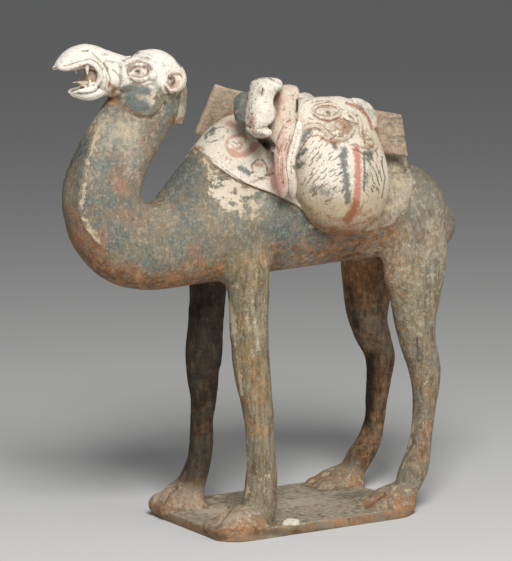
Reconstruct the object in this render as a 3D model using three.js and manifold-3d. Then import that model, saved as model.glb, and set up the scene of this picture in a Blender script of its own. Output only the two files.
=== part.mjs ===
import * as THREE from "three";
import { mergeVertices } from "three/addons/utils/BufferGeometryUtils.js";
import Module from "manifold-3d";

// A standing two-humped camel in painted earthenware, its head raised and its mouth open,
// with a loaded saddle, on a thin slab. Millimetres, +Z up. It faces -X, and its left side is -Y.
// The origin is the centre of the slab's underside.

const wasm = await Module();
wasm.setup();

// Driving dimensions

const SLAB = { length: 235, width: 158, thick: 9, corner: 26 };
const CREST = 480; // top of the hair on the crown
const BELLY = 254; // underside of the belly
const CHEST = 247; // underside of the chest
const BODY_HALF_WIDTH = 58;
const BLANKET_THICK = 4;
const BOARD = { length: 179, thick: 6, foot: 52 };
const SKEIN = { strand: 5, spread: 3.6, turns: 2.6 };
const SIDES = [-1, 1];

const Y = new THREE.Vector3(0, 1, 0);
const UP = new THREE.Vector3(0, 0, 1);
const DOWN = new THREE.Vector3(0, 0, -1);

// Solid of a closed geometry, with its shared vertices merged.
function solid(geometry) {
  const bare = geometry.clone();
  bare.deleteAttribute("normal");
  bare.deleteAttribute("uv");
  const merged = mergeVertices(bare, 1e-4);
  return new wasm.Manifold(new wasm.Mesh({
    numProp: 3,
    vertProperties: new Float32Array(merged.attributes.position.array),
    triVerts: new Uint32Array(merged.index.array),
  }));
}

// Union of a list of solids.
function union(solids) {
  return solids.reduce((all, next) => all.add(next));
}

// Mirror image of a solid across the plane Y = 0.
function mirrored(body) {
  return body.mirror([0, 1, 0]);
}

// Skin through oval sections. A station is [x, y, z, half depth, half width]: the half width lies
// across the path, towards Y, and the half depth at right angles to both. facing, if given, keeps
// every section at right angles to it. grow thickens every section, and square over 2 makes the
// sections fuller.
function loft(stations, { sides = 16, rings = 14, grow = 0, square = 2, facing = null } = {}) {
  const path = new THREE.CatmullRomCurve3(stations.map(([x, y, z]) => new THREE.Vector3(x, y, z)));
  const size = new THREE.SplineCurve(stations.map((s) => new THREE.Vector2(s[3], s[4])));
  const geometry = new THREE.CylinderGeometry(1, 1, 1, sides, rings);
  const points = geometry.attributes.position;
  for (let i = 0; i < points.count; i++) {
    const t = THREE.MathUtils.clamp(points.getY(i) + 0.5, 0, 1);
    const angle = Math.atan2(points.getZ(i), points.getX(i));
    const radius = Math.hypot(points.getX(i), points.getZ(i));
    const [c, s] = [Math.cos(angle), Math.sin(angle)];
    const full = radius / (Math.abs(c) ** square + Math.abs(s) ** square) ** (1 / square);
    const along = facing ?? path.getTangent(t);
    const depth = along.clone().cross(Y).normalize();
    const across = depth.clone().cross(along).normalize();
    const half = size.getPoint(t);
    const place = path.getPoint(t)
      .addScaledVector(depth, (half.x + grow) * full * c)
      .addScaledVector(across, (half.y + grow) * full * s);
    points.setXYZ(i, place.x, place.y, place.z);
  }
  return solid(geometry);
}

// Ellipsoid with its centre and its three half sizes.
function ball([x, y, z], [a, b, c], sides = 8) {
  const geometry = new THREE.SphereGeometry(1, sides, Math.round(sides * 0.6));
  geometry.scale(a, b, c).translate(x, y, z);
  return solid(geometry);
}

// Round rod along a smooth line of points.
function rod(points, radius, steps = 6, sides = 3) {
  const path = new THREE.CatmullRomCurve3(points.map((p) => new THREE.Vector3(...p)));
  const section = new THREE.Shape();
  section.absarc(0, 0, radius, 0, Math.PI * 2);
  return solid(new THREE.ExtrudeGeometry(section, { extrudePath: path, steps, curveSegments: sides }));
}

// Thin slab under the feet, with its corners rounded to the feet.
function slab() {
  const { length, width, thick, corner } = SLAB;
  const [x, y] = [length / 2, width / 2];
  const outline = new THREE.Shape();
  outline.absarc(x - corner, y - corner, corner, 0, Math.PI / 2);
  outline.absarc(corner - x, y - corner, corner, Math.PI / 2, Math.PI);
  outline.absarc(corner - x, corner - y, corner, Math.PI, Math.PI * 1.5);
  outline.absarc(x - corner, corner - y, corner, Math.PI * 1.5, Math.PI * 2);
  return solid(new THREE.ExtrudeGeometry(outline, { depth: thick, bevelEnabled: false, curveSegments: 6 }));
}

// Barrel of the body from the chest to the rump.
function barrel(grow) {
  const w = BODY_HALF_WIDTH;
  return loft([
    [-152, 0, 292, 34, w - 24],
    [-130, 0, 294, 46, w - 14],
    [-95, 0, CHEST + 55, 55, w - 5],
    [-50, 0, CHEST + 63, 59, w],
    [0, 0, BELLY + 56, 55, w],
    [50, 0, BELLY + 57, 54, w - 1],
    [98, 0, BELLY + 57, 52, w - 1],
    [136, 0, BELLY + 54, 50, w - 6],
    [162, 0, 292, 42, w - 14],
    [181, 0, 283, 32, w - 24],
    [192, 0, 275, 20, 24],
    [197, 0, 270, 8, 12],
  ], { sides: 16, rings: 13, grow });
}

// The two humps under the saddle.
function humps(grow) {
  const front = loft([
    [-74, 0, 335, 72, 45],
    [-62, 0, 358, 62, 40],
    [-55, 0, 380, 46, 33],
    [-51, 0, 398, 31, 25],
    [-50, 0, 409, 15, 14],
    [-50, 0, 412, 4, 4],
  ], { rings: 8, grow, facing: UP });
  const rear = loft([
    [104, 0, 335, 56, 44],
    [98, 0, 360, 46, 36],
    [93, 0, 384, 30, 26],
    [91, 0, 400, 14, 13],
    [90, 0, 404, 4, 4],
  ], { rings: 6, grow, facing: UP });
  return front.add(rear);
}

// Saddle blanket: a thicker skin over the back, cut to its hem as seen from the side.
function blanket() {
  const hem = new THREE.Shape();
  hem.moveTo(-106, 430);
  hem.lineTo(-106, 385);
  hem.splineThru([[-100, 368], [-74, 349], [-38, 335], [-5, 312], [45, 296], [92, 300]]
    .map(([x, z]) => new THREE.Vector2(x, z)));
  hem.splineThru([[110, 318], [126, 342], [134, 372]].map(([x, z]) => new THREE.Vector2(x, z)));
  hem.lineTo(134, 430);
  const reach = BODY_HALF_WIDTH + BLANKET_THICK + 6;
  const block = new THREE.ExtrudeGeometry(hem, { depth: reach * 2, bevelEnabled: false, curveSegments: 4 });
  block.rotateX(Math.PI / 2).translate(0, reach, 0);
  return barrel(BLANKET_THICK).add(humps(BLANKET_THICK)).intersect(solid(block));
}

// Neck, a deep S from the chest to the back of the skull.
function neck() {
  return loft([
    [-105, 0, 296, 48, 50],
    [-150, 0, 288, 43, 44],
    [-184, 0, 293, 41, 37],
    [-205, 0, 318, 40, 32],
    [-209, 0, 345, 38.5, 29],
    [-197, 0, 376, 36, 27],
    [-178, 0, 404, 35, 26],
    [-160, 0, 428, 33, 26],
    [-148, 0, 445, 27, 23],
  ], { sides: 16, rings: 13, square: 2.2 });
}

// Skull, upper jaw, crown and nape hair.
function skull() {
  const face = loft([
    [-122, 0, 455, 10, 12],
    [-132, 0, 452, 20, 22],
    [-150, 0, 450, 28, 27],
    [-165, 0, 447, 32, 28],
    [-180, 0, 450, 25, 26],
    [-195, 0, 461, 17.5, 21],
    [-210, 0, 469, 13.5, 17],
    [-225, 0, 475, 11.5, 15],
    [-240, 0, 472, 10, 13],
    [-252, 0, 467.5, 5.5, 9],
    [-257, 0, 466, 2, 4],
  ], { sides: 14, rings: 14 });
  const crown = ball([-153, 0, CREST - 20], [27, 22, 20], 10);
  const nape = loft([
    [-138, 0, 458, 12, 16],
    [-132, 0, 440, 12, 18],
    [-131, 0, 420, 9, 17],
    [-131, 0, 407, 7, 14],
  ], { sides: 10, rings: 4, square: 3 });
  return union([face, crown, nape]);
}

// Lower jaw, tongue and the two long upper teeth.
function jaw() {
  const bone = loft([
    [-178, 0, 438, 10, 15],
    [-205, 0, 443, 6.5, 12],
    [-222, 0, 440, 7, 11],
    [-234, 0, 439, 4.5, 8],
    [-242, 0, 439.5, 1.5, 3],
  ], { sides: 12, rings: 7 });
  const tongue = loft([
    [-204, 0, 449, 4, 8],
    [-222, 0, 448, 3, 7],
    [-234, 0, 451, 2, 4],
    [-242, 0, 451, 1, 1.5],
  ], { sides: 8, rings: 4 });
  const teeth = SIDES.map((side) => {
    const tooth = new THREE.ConeGeometry(2.4, 14, 6);
    tooth.rotateX(Math.PI * -0.5).translate(-222, side * 9, 461);
    return solid(tooth);
  });
  return union([bone, tongue, ...teeth]);
}

// Ear cup, eye with its brow and the boss behind it, on the left side.
function sideOfHead() {
  const ear = new THREE.TorusGeometry(7.5, 3, 5, 9);
  ear.rotateX(Math.PI / 2).translate(-137, -26, 450);
  return union([
    solid(ear),
    ball([-136, -21, 450], [8, 5, 8]),
    ball([-182, -22, 460], [9, 5, 6.5]),
    ball([-168, -25.5, 457], [4.5, 4, 4.5]),
    rod([[-192, -19, 461], [-184, -23, 468], [-174, -25, 467], [-164, -26, 463]], 2.6),
  ]);
}

// A leg from inside the body down to its foot, and the broad two-toed pad.
function leg(stations, pad) {
  const shaft = loft(stations, { sides: 10, rings: 11, facing: DOWN });
  const [x, y, halfLength, halfWidth] = pad;
  const sole = SLAB.thick - 5;
  const foot = loft([
    [x, y, sole, halfLength * 0.96, halfWidth * 0.96],
    [x, y, sole + 7, halfLength, halfWidth],
    [x + 1, y, sole + 13, halfLength * 0.93, halfWidth * 0.92],
    [x + 5, y, sole + 19, halfLength * 0.72, halfWidth * 0.75],
    [x + 10, y, sole + 24, halfLength * 0.4, halfWidth * 0.5],
  ], { sides: 12, rings: 4, square: 2.3, facing: UP });
  return shaft.add(foot);
}

// The four legs. The left pair stands a little ahead of the right pair behind, and behind it in
// front, and each leg spreads towards its foot.
function legs() {
  const leftFore = leg([
    [-66, -34, 292, 27, 20],
    [-69, -38, 262, 24, 22],
    [-67, -39, 232, 20.5, 20],
    [-67.5, -40.5, 200, 19, 18.5],
    [-66, -43, 165, 18.5, 18],
    [-63.5, -44.5, 142, 17, 16.5],
    [-60, -46, 118, 15.3, 15],
    [-59, -48, 92, 14, 14],
    [-58, -49.5, 68, 14.5, 14.5],
    [-60, -51, 48, 16.5, 16],
    [-63, -52, 26, 18, 17],
    [-68, -52, 12, 17, 17],
  ], [-85, -52, 29, 25]);
  const rightFore = leg([
    [-66, 34, 292, 27, 20],
    [-67, 36, 262, 23, 21],
    [-68, 38, 228, 18.5, 18],
    [-69.5, 40, 193, 18.5, 18],
    [-70, 43, 165, 19, 18],
    [-70, 44.5, 146, 16.5, 16],
    [-68.5, 46, 121, 13.5, 13.5],
    [-70, 47, 100, 12.2, 12.2],
    [-70, 48, 78, 12, 12],
    [-71.5, 49.5, 58, 12.5, 12.5],
    [-77, 51, 42, 15, 14],
    [-82, 52, 28, 17, 15],
    [-86, 52, 13, 15, 15],
  ], [-94, 53, 26.5, 24]);
  const leftHind = leg([
    [124, -34, 302, 46, 22],
    [135, -38, 267, 39, 25],
    [133, -40, 240, 34, 24],
    [134, -40, 217, 27, 22],
    [134, -41, 190, 21.5, 19],
    [138, -43, 166, 19, 17],
    [144, -44, 146, 17.5, 15.5],
    [145, -45, 125, 14.5, 13.5],
    [142.5, -46, 105, 12, 12],
    [138, -48, 80, 11.5, 11.5],
    [133, -49.5, 60, 13, 13],
    [127, -51, 43, 16, 15],
    [119, -52, 28, 15, 14],
    [109, -53, 14, 13, 14],
  ], [94, -53, 28, 25]);
  const rightHind = leg([
    [126, 34, 302, 44, 22],
    [135, 38, 267, 38, 25],
    [133, 40, 240, 33, 24],
    [131, 40, 217, 28, 22],
    [131, 41, 190, 22.5, 19],
    [139, 42, 166, 20, 17],
    [149, 44, 144, 17, 15.5],
    [149, 45, 121, 13.5, 13.5],
    [147, 46, 100, 12, 12],
    [146, 48, 78, 11, 11],
    [141, 49.5, 57, 13, 13],
    [133, 51, 43, 16, 15],
    [124, 52, 28, 16, 14],
    [115, 53, 14, 14, 14],
  ], [100, 53, 32, 24]);
  return union([leftFore, rightFore, leftHind, rightHind]);
}

// Pack board leaning against the humps, its front end high. The left one is the lower.
function board(side, middle, tilt, height, lean) {
  const { length, thick, foot } = BOARD;
  const plank = new THREE.BoxGeometry(length, thick, height);
  plank.translate(0, 0, height / 2);
  plank.rotateX(side * THREE.MathUtils.degToRad(lean));
  plank.rotateY(THREE.MathUtils.degToRad(tilt));
  plank.translate(middle[0], side * foot, middle[1]);
  return solid(plank);
}

// Bundle in the dip between the humps.
function bundle() {
  return loft([
    [-45, 0, 392, 12, 20],
    [-25, 0, 398, 24, 34],
    [15, 0, 400, 26, 38],
    [60, 0, 398, 25, 36],
    [82, 0, 392, 12, 22],
  ], { sides: 16, rings: 8 });
}

// Stations of the left bag, upwards, and the fullness of its sections.
const BAG = [
  [31, -58, 294, 12, 10],
  [30, -61, 301, 28, 20],
  [28, -63, 318, 43, 29],
  [26, -63, 340, 50, 34],
  [25, -60, 365, 51, 33],
  [23, -54, 390, 48, 28],
  [20, -47, 410, 43, 22],
  [18, -42, 424, 36, 14],
  [18, -40, 430, 22, 6],
];
const BAG_FULLNESS = 2.3;

// Full bag that hangs over the left flank.
function bag() {
  return loft(BAG, { sides: 14, rings: 9, square: BAG_FULLNESS, facing: UP });
}

// Point of the left bag's outer side at x and z, standing proud of it by lift.
function onBag(x, z, lift) {
  const upper = Math.max(1, BAG.findIndex((station) => station[2] >= z));
  const [low, high] = [BAG[upper - 1], BAG[upper]];
  const t = (z - low[2]) / (high[2] - low[2]);
  const [cx, cy, , half, deep] = low.map((value, i) => THREE.MathUtils.lerp(value, high[i], t));
  const reach = Math.min(Math.abs((x - cx) / half), 1);
  return [x, cy - deep * (1 - reach ** BAG_FULLNESS) ** (1 / BAG_FULLNESS) - lift, z];
}

// Beast's mask folded over the top of the left bag: eyes, nose, brow and curled lips.
function mask() {
  const eyes = [[4, 417], [40, 411]].map(([x, z]) => ball(onBag(x, z, 0), [9, 5, 6]));
  const nose = ball(onBag(21, 402, 1), [9, 8, 8]);
  const line = (points, lift, radius) => rod(points.map(([x, z]) => onBag(x, z, lift)), radius);
  const brow = line([[-14, 412], [-6, 421], [7, 425], [17, 414]], 1, 3.6);
  const lips = [
    line([[-22, 382], [-16, 394], [-6, 399], [4, 396], [14, 390], [26, 388]], 1, 4.2),
    line([[26, 388], [38, 391], [46, 401], [42, 408]], 1, 4.2),
    ball(onBag(54, 391, 0), [6.5, 5, 6.5]),
  ];
  return union([...eyes, nose, brow, ...lips]);
}

// Twisted skein of two strands that hangs at the bag's front edge.
function skein() {
  const line = new THREE.CatmullRomCurve3([
    [-14, -50, 424], [-24, -62, 410], [-32, -66, 388], [-36, -68, 362], [-38, -66, 336], [-38, -61, 328],
  ].map((p) => new THREE.Vector3(...p)));
  const steps = 12;
  const strands = SIDES.map((start) => {
    const points = Array.from({ length: steps + 1 }, (_, i) => {
      const t = i / steps;
      const turn = t * SKEIN.turns * Math.PI * 2 + (start * Math.PI) / 2;
      const at = line.getPoint(t);
      const spread = SKEIN.spread;
      return [at.x + Math.cos(turn) * spread, at.y + Math.sin(turn) * spread, at.z];
    });
    return rod(points, SKEIN.strand, steps);
  });
  return union(strands);
}

// Pear-shaped flask on its disc foot, and the ribbed oval piece beside it.
function hangingGoods() {
  const outline = [[0, 0], [9, 0], [10, 3], [7, 7], [13, 14], [18, 26], [19, 36], [16, 47], [9, 53], [0, 55]]
    .map(([r, h]) => new THREE.Vector2(r, h));
  const flask = new THREE.LatheGeometry(outline, 10);
  flask.rotateX(Math.PI / 2).translate(0, 0, 0);
  flask.rotateY(THREE.MathUtils.degToRad(6)).translate(-67, -60, 397);
  const ribs = loft([
    [-34, -58, 382, 7, 5],
    [-36, -60, 392, 13, 9],
    [-38, -60, 414, 16, 11],
    [-38, -56, 434, 12, 10],
    [-37, -53, 444, 5, 5],
  ], { sides: 10, rings: 5, facing: UP });
  const backing = loft([
    [-70, -44, 394, 15, 8],
    [-72, -44, 415, 17, 10],
    [-70, -42, 438, 14, 8],
  ], { sides: 8, rings: 3, facing: UP });
  return union([solid(flask), ribs, backing]);
}

// The load: boards, bundle and a bag on each flank, with the mask, the skein and the goods.
function load() {
  return union([
    board(-1, [26, 382], 10, 47, 28),
    board(1, [12, 368], 15, 55, 20),
    bundle(),
    bag(),
    mirrored(bag()),
    mask(),
    skein(),
    hangingGoods(),
  ]);
}

function camel() {
  const head = union([skull(), jaw(), sideOfHead(), mirrored(sideOfHead())]);
  return union([slab(), barrel(0), humps(0), neck(), head, legs(), blanket(), load()]);
}

// Mesh of a solid, flat shaded, in the colour of painted clay.
function mesh(name, body, colour) {
  const { vertProperties, triVerts } = body.getMesh();
  const geometry = new THREE.BufferGeometry();
  geometry.setAttribute("position", new THREE.BufferAttribute(vertProperties, 3));
  geometry.setIndex(new THREE.BufferAttribute(triVerts, 1));
  geometry.computeVertexNormals();
  const material = new THREE.MeshStandardMaterial({ color: colour, roughness: 0.9, metalness: 0 });
  const piece = new THREE.Mesh(geometry, material);
  piece.name = name;
  return piece;
}

const figure = new THREE.Group();
figure.add(mesh("camel_figure", camel(), 0x9c9484));

export default figure;
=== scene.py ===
"""Painted pottery camel with a loaded saddle, standing on its slab, rebuilt round the frame.

The figure is one fired piece, so it is one mesh: closed clay forms are pressed together, skinned,
cut and rubbed by hand, and then painted. Forms are in millimetres until the mesh is finished.
"""

import logging
import math
from collections.abc import Callable, Iterable, Sequence
from dataclasses import dataclass, field
from enum import Enum, IntEnum
from typing import Protocol

import bmesh
import bpy
import numpy as np
from mathutils import Matrix, Vector
from mathutils.bvhtree import BVHTree


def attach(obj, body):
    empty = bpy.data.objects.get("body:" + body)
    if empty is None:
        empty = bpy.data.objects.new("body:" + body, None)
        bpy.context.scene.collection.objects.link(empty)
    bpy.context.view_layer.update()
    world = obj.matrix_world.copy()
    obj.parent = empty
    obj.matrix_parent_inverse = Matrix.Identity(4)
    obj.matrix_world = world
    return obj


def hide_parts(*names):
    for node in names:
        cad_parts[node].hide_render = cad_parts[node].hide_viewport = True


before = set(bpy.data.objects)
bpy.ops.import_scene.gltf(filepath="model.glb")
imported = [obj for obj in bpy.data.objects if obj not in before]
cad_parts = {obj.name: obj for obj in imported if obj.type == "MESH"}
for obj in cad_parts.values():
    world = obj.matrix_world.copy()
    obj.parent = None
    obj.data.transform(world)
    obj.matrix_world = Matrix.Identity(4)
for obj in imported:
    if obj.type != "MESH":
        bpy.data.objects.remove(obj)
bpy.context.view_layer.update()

log = logging.getLogger("camel")

METRES = 0.001
SEED = 7
ROD_SIDES = 12
ROD_RINGS = 5
LEAST_RINGS = 8
ROD_END = 0.35
ROD_ROUND = 10
LUMP_CELLS = 32
LUMP_SHIFT = 7.31
VOXEL = 0.95
MOST_TRIANGLES = 194_000
PLAIN_TRIANGLES = MOST_TRIANGLES * 0.45
UP = Vector((0.0, 0.0, 1.0))
ACROSS = Vector((0.0, 1.0, 0.0))

Place = tuple[float, float]
Spot = tuple[float, float, float]
Station = tuple[float, float, float, float, float]
Section = tuple[float, float, float, float]


class Part(IntEnum):
    """The stretches of the figure that are painted differently."""

    TRUNK = 0
    NECK = 1
    HEAD = 2
    MOUTH = 3
    EYE = 4
    EAR = 5
    NAPE = 6
    BLANKET = 7
    BAG = 8
    MASK = 9
    ROLL = 10
    SKEIN = 11
    EWER = 12
    TABLET = 13
    BOARD = 14
    FORE_LEFT = 15
    FORE_RIGHT = 16
    HIND_LEFT = 17
    HIND_RIGHT = 18
    FOOT = 19
    SLAB = 20
    TOOTH = 21
    FAR_BOARD = 22
    CLOTH = 23


class Coat(Enum):
    """Layers of colour, each held as one number at every point of the skin."""

    SLIP = "slip"
    BLUE = "blue"
    RUST = "rust"
    # Soot and dark specks, and also painted shade where the figure stands in shade.
    SOOT = "soot"
    ROSE = "rose"
    OLIVE = "olive"
    PINK = "pink"
    INK = "ink"
    UMBER = "umber"
    PIT = "pit"
    STREAK = "streak"
    DUST = "dust"
    WHITE = "white"
    HAZE = "haze"
    # Brown stains, and also brown painted shade in creases, under lips and in hollows.
    TAN = "tan"
    EVEN = "even"


LINE_COATS = (Coat.PINK, Coat.INK, Coat.UMBER)
OFF_LOAD = (Coat.BLUE, Coat.SLIP, Coat.OLIVE)


# Measuring and drawing

@dataclass(frozen=True)
class Sight:
    """Viewpoint of the photograph, used to place what is seen on the near side."""

    azimuth: float = -32.0
    elevation: float = 8.0
    distance: float = 2500.0
    focal: float = 2484.0
    target: tuple[float, float, float] = (-34.0, 0.0, 245.0)
    centre: Place = (256.0, 280.5)

    def axes(self) -> np.ndarray:
        """Works out the viewer's directions.

        Returns:
            Rows of the directions right, up and back towards the viewer.
        """
        turn, rise = math.radians(self.azimuth), math.radians(self.elevation)
        level = math.cos(rise)
        back = np.array([math.sin(turn) * level, -math.cos(turn) * level, math.sin(rise)])
        right = np.array([math.cos(turn), math.sin(turn), 0.0])
        return np.array([right, np.cross(back, right), back])

    def eye(self) -> np.ndarray:
        """Works out where the viewer stands, in millimetres."""
        return np.array(self.target) + self.distance * self.axes()[2]

    def places(self, points: np.ndarray) -> np.ndarray:
        """Puts points on the picture.

        Args:
            points: one row for each point, in millimetres.

        Returns:
            One row of pixels across and down for each point.
        """
        right, up, back = self.axes()
        away = points - self.eye()
        scale = self.focal / -(away @ back)
        return np.stack([self.centre[0] + away @ right * scale, self.centre[1] - away @ up * scale], axis=1)

    def ray(self, u: float, v: float) -> Vector:
        """Looks through a pixel.

        Args:
            u: pixels across.
            v: pixels down.

        Returns:
            Direction of the line of sight.
        """
        right, up, back = self.axes()
        across, down = (u - self.centre[0]) / self.focal, (v - self.centre[1]) / self.focal
        return Vector(across * right - down * up - back).normalized()

    def at(self, u: float, v: float, y: float) -> Vector:
        """Point of the line of sight through a pixel, at a given depth.

        Args:
            u: pixels across.
            v: pixels down.
            y: how far left of the middle plane the point lies, in millimetres, left being minus.

        Returns:
            The point in millimetres.
        """
        eye, ray = Vector(self.eye()), self.ray(u, v)
        return eye + ray * ((y - eye.y) / ray.y)


def smooth_line(values: Sequence[Sequence[float]], t: float) -> np.ndarray:
    """Reads a smooth curve through a row of values.

    Args:
        values: the values at even steps of t.
        t: how far along, from 0 to 1.

    Returns:
        The value there.
    """
    knots = np.asarray(values, dtype=float)
    place = min(max(t, 0.0), 1.0) * (len(knots) - 1)
    i = min(int(place), len(knots) - 2)
    s = place - i
    a, b, c, d = (knots[min(max(i + k, 0), len(knots) - 1)] for k in (-1, 0, 1, 2))
    return 0.5 * (2 * b + (c - a) * s + (2 * a - 5 * b + 4 * c - d) * s**2 + (3 * b - a - 3 * c + d) * s**3)


def lumps(points: np.ndarray, size: float, seed: int) -> np.ndarray:
    """Soft random lumps, from -1 to 1.

    Args:
        points: one row for each point.
        size: distance between lumps.
        seed: picks the pattern.

    Returns:
        One number for each point.
    """
    lattice = np.random.default_rng(SEED * 100 + seed).uniform(-1, 1, (LUMP_CELLS,) * 3)
    spot = points / size + seed * LUMP_SHIFT
    low = np.floor(spot).astype(int)
    part = spot - low
    ease = part * part * (3 - 2 * part)
    total = np.zeros(len(points))
    for corner in np.ndindex(2, 2, 2):
        step = np.array(corner)
        weight = np.prod(np.where(step, ease, 1 - ease), axis=1)
        i, j, k = ((low + step) % LUMP_CELLS).T
        total += weight * lattice[i, j, k]
    return total


def tube(sides: int, rings: int, shape: Callable[[float, float], Vector]) -> bmesh.types.BMesh:
    """Closed tube whose skin is laid out by a rule.

    Args:
        sides: faces round it.
        rings: faces along it.
        shape: gives the point at a share of the length, from 0 to 1, and an angle.

    Returns:
        The tube, for the caller to free.
    """
    form = bmesh.new()
    bmesh.ops.create_cone(form, cap_ends=True, segments=sides, radius1=1, radius2=1, depth=1)
    long_edges = [e for e in form.edges if abs(e.verts[0].co.z - e.verts[1].co.z) > 0.5]
    bmesh.ops.subdivide_edges(form, edges=long_edges, cuts=rings - 1, use_grid_fill=True)
    for vert in form.verts:
        vert.co = shape(vert.co.z + 0.5, math.atan2(vert.co.y, vert.co.x))
    return form


def loft(
    stations: Sequence[Station],
    sides: int = 40,
    rings: int = 40,
    square: float = 2.0,
    facing: Vector | None = None,
    grow: float = 0.0,
) -> bmesh.types.BMesh:
    """Skin through oval sections.

    Args:
        stations: x, y, z, half depth and half width of each section.
        sides: faces round it.
        rings: faces along it.
        square: 2 for ovals, more for fuller sections.
        facing: keeps every section at right angles to this direction.
        grow: thickens every section.

    Returns:
        The closed form.
    """
    step = 0.002

    def shape(t: float, angle: float) -> Vector:
        """Finds a point of the skin.

        Args:
            t: share of the length.
            angle: angle round the section.

        Returns:
            The point.
        """
        x, y, z, deep, wide = smooth_line(stations, t)
        ahead = smooth_line(stations, t + step)[:3] - smooth_line(stations, t - step)[:3]
        along = facing or Vector(ahead).normalized()
        depth = along.cross(ACROSS).normalized()
        across = depth.cross(along).normalized()
        c, s = math.cos(angle), math.sin(angle)
        full = (abs(c) ** square + abs(s) ** square) ** (-1 / square)
        return Vector((x, y, z)) + depth * ((deep + grow) * full * c) + across * ((wide + grow) * full * s)

    return tube(sides, rings, shape)


def rod(
    points: Sequence[Vector], radii: Sequence[float], flat: Vector | None = None, squash: float = 1.0
) -> bmesh.types.BMesh:
    """Rounded strand along a smooth line.

    Args:
        points: places on the line.
        radii: its thickness at even steps, half across.
        flat: direction in which the strand is flattened.
        squash: share of the thickness that is left in that direction.

    Returns:
        The closed form.
    """
    rings = max(LEAST_RINGS, ROD_RINGS * len(points))
    line = [Vector(smooth_line(points, i / rings)) for i in range(rings + 1)]
    width = [float(smooth_line([[r] for r in radii], i / rings)[0]) for i in range(rings + 1)]
    normal = (line[1] - line[0]).orthogonal().normalized()
    frames: list[tuple[Vector, Vector]] = []
    for i, _ in enumerate(line):
        ahead = (line[min(i + 1, rings)] - line[max(i - 1, 0)]).normalized()
        normal = (normal - ahead * normal.dot(ahead)).normalized()
        frames.append((normal.copy(), ahead.cross(normal)))

    def shape(t: float, angle: float) -> Vector:
        """Finds a point of the strand.

        Args:
            t: share of the length.
            angle: angle round it.

        Returns:
            The point.
        """
        i = round(t * rings)
        ends = max(ROD_END, 1 - abs(2 * t - 1) ** ROD_ROUND) ** 0.5
        offset = (frames[i][0] * math.cos(angle) + frames[i][1] * math.sin(angle)) * width[i] * ends
        if flat is not None:
            offset -= flat * (offset.dot(flat) * (1 - squash))
        return line[i] + offset

    return tube(ROD_SIDES, rings, shape)


def ball(centre: Sequence[float], radii: Sequence[float], turn: Matrix | None = None) -> bmesh.types.BMesh:
    """Rounded lump.

    Args:
        centre: its middle.
        radii: its three half sizes.
        turn: turn of its axes.

    Returns:
        The closed form.
    """
    form = bmesh.new()
    place = Matrix.Translation(Vector(centre)) @ (turn or Matrix.Identity(4)) @ Matrix.Diagonal((*radii, 1.0))
    bmesh.ops.create_icosphere(form, subdivisions=4, radius=1.0, matrix=place)
    return form


def slab_form(size: Sequence[float], place: Matrix, soften: float) -> bmesh.types.BMesh:
    """Flat block with softened edges.

    Args:
        size: length, thickness and height.
        place: moves and turns it.
        soften: width of its edge rounding.

    Returns:
        The closed form.
    """
    form = bmesh.new()
    bmesh.ops.create_cube(form, size=1.0, matrix=Matrix.Diagonal((*size, 1.0)))
    bmesh.ops.bevel(
        form, geom=form.edges[:], offset=soften, segments=3, profile=0.5, affect="EDGES", material=-1
    )
    bmesh.ops.transform(form, matrix=place, verts=form.verts)
    return form


def to_object(form: bmesh.types.BMesh, name: str) -> bpy.types.Object:
    """Makes an object of a form, which is freed.

    Args:
        form: the form.
        name: name of the object and its mesh.

    Returns:
        The object, in the scene.
    """
    bmesh.ops.recalc_face_normals(form, faces=form.faces)
    data = bpy.data.meshes.new(name)
    form.to_mesh(data)
    form.free()
    made = bpy.data.objects.new(name, data)
    bpy.context.scene.collection.objects.link(made)
    return made


def settle(made: bpy.types.Object) -> bpy.types.Mesh:
    """Applies an object's modifiers and deletes the object.

    Args:
        made: the object.

    Returns:
        The mesh that the modifiers leave.
    """
    bpy.context.view_layer.update()
    data = bpy.data.meshes.new_from_object(made.evaluated_get(bpy.context.evaluated_depsgraph_get()))
    old = made.data
    bpy.data.objects.remove(made)
    bpy.data.meshes.remove(old)
    return data


def common(first: bmesh.types.BMesh, second: bmesh.types.BMesh) -> bmesh.types.BMesh:
    """Finds what two closed forms share; both are freed.

    Args:
        first: one form.
        second: the other.

    Returns:
        The shared form.
    """
    kept, cutter = to_object(first, "kept"), to_object(second, "cutter")
    boolean = kept.modifiers.new("cut", "BOOLEAN")
    boolean.operation = "INTERSECT"
    boolean.solver = "EXACT"
    boolean.object = cutter
    data = settle(kept)
    settle(cutter)
    shared = bmesh.new()
    shared.from_mesh(data)
    bpy.data.meshes.remove(data)
    return shared


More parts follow.
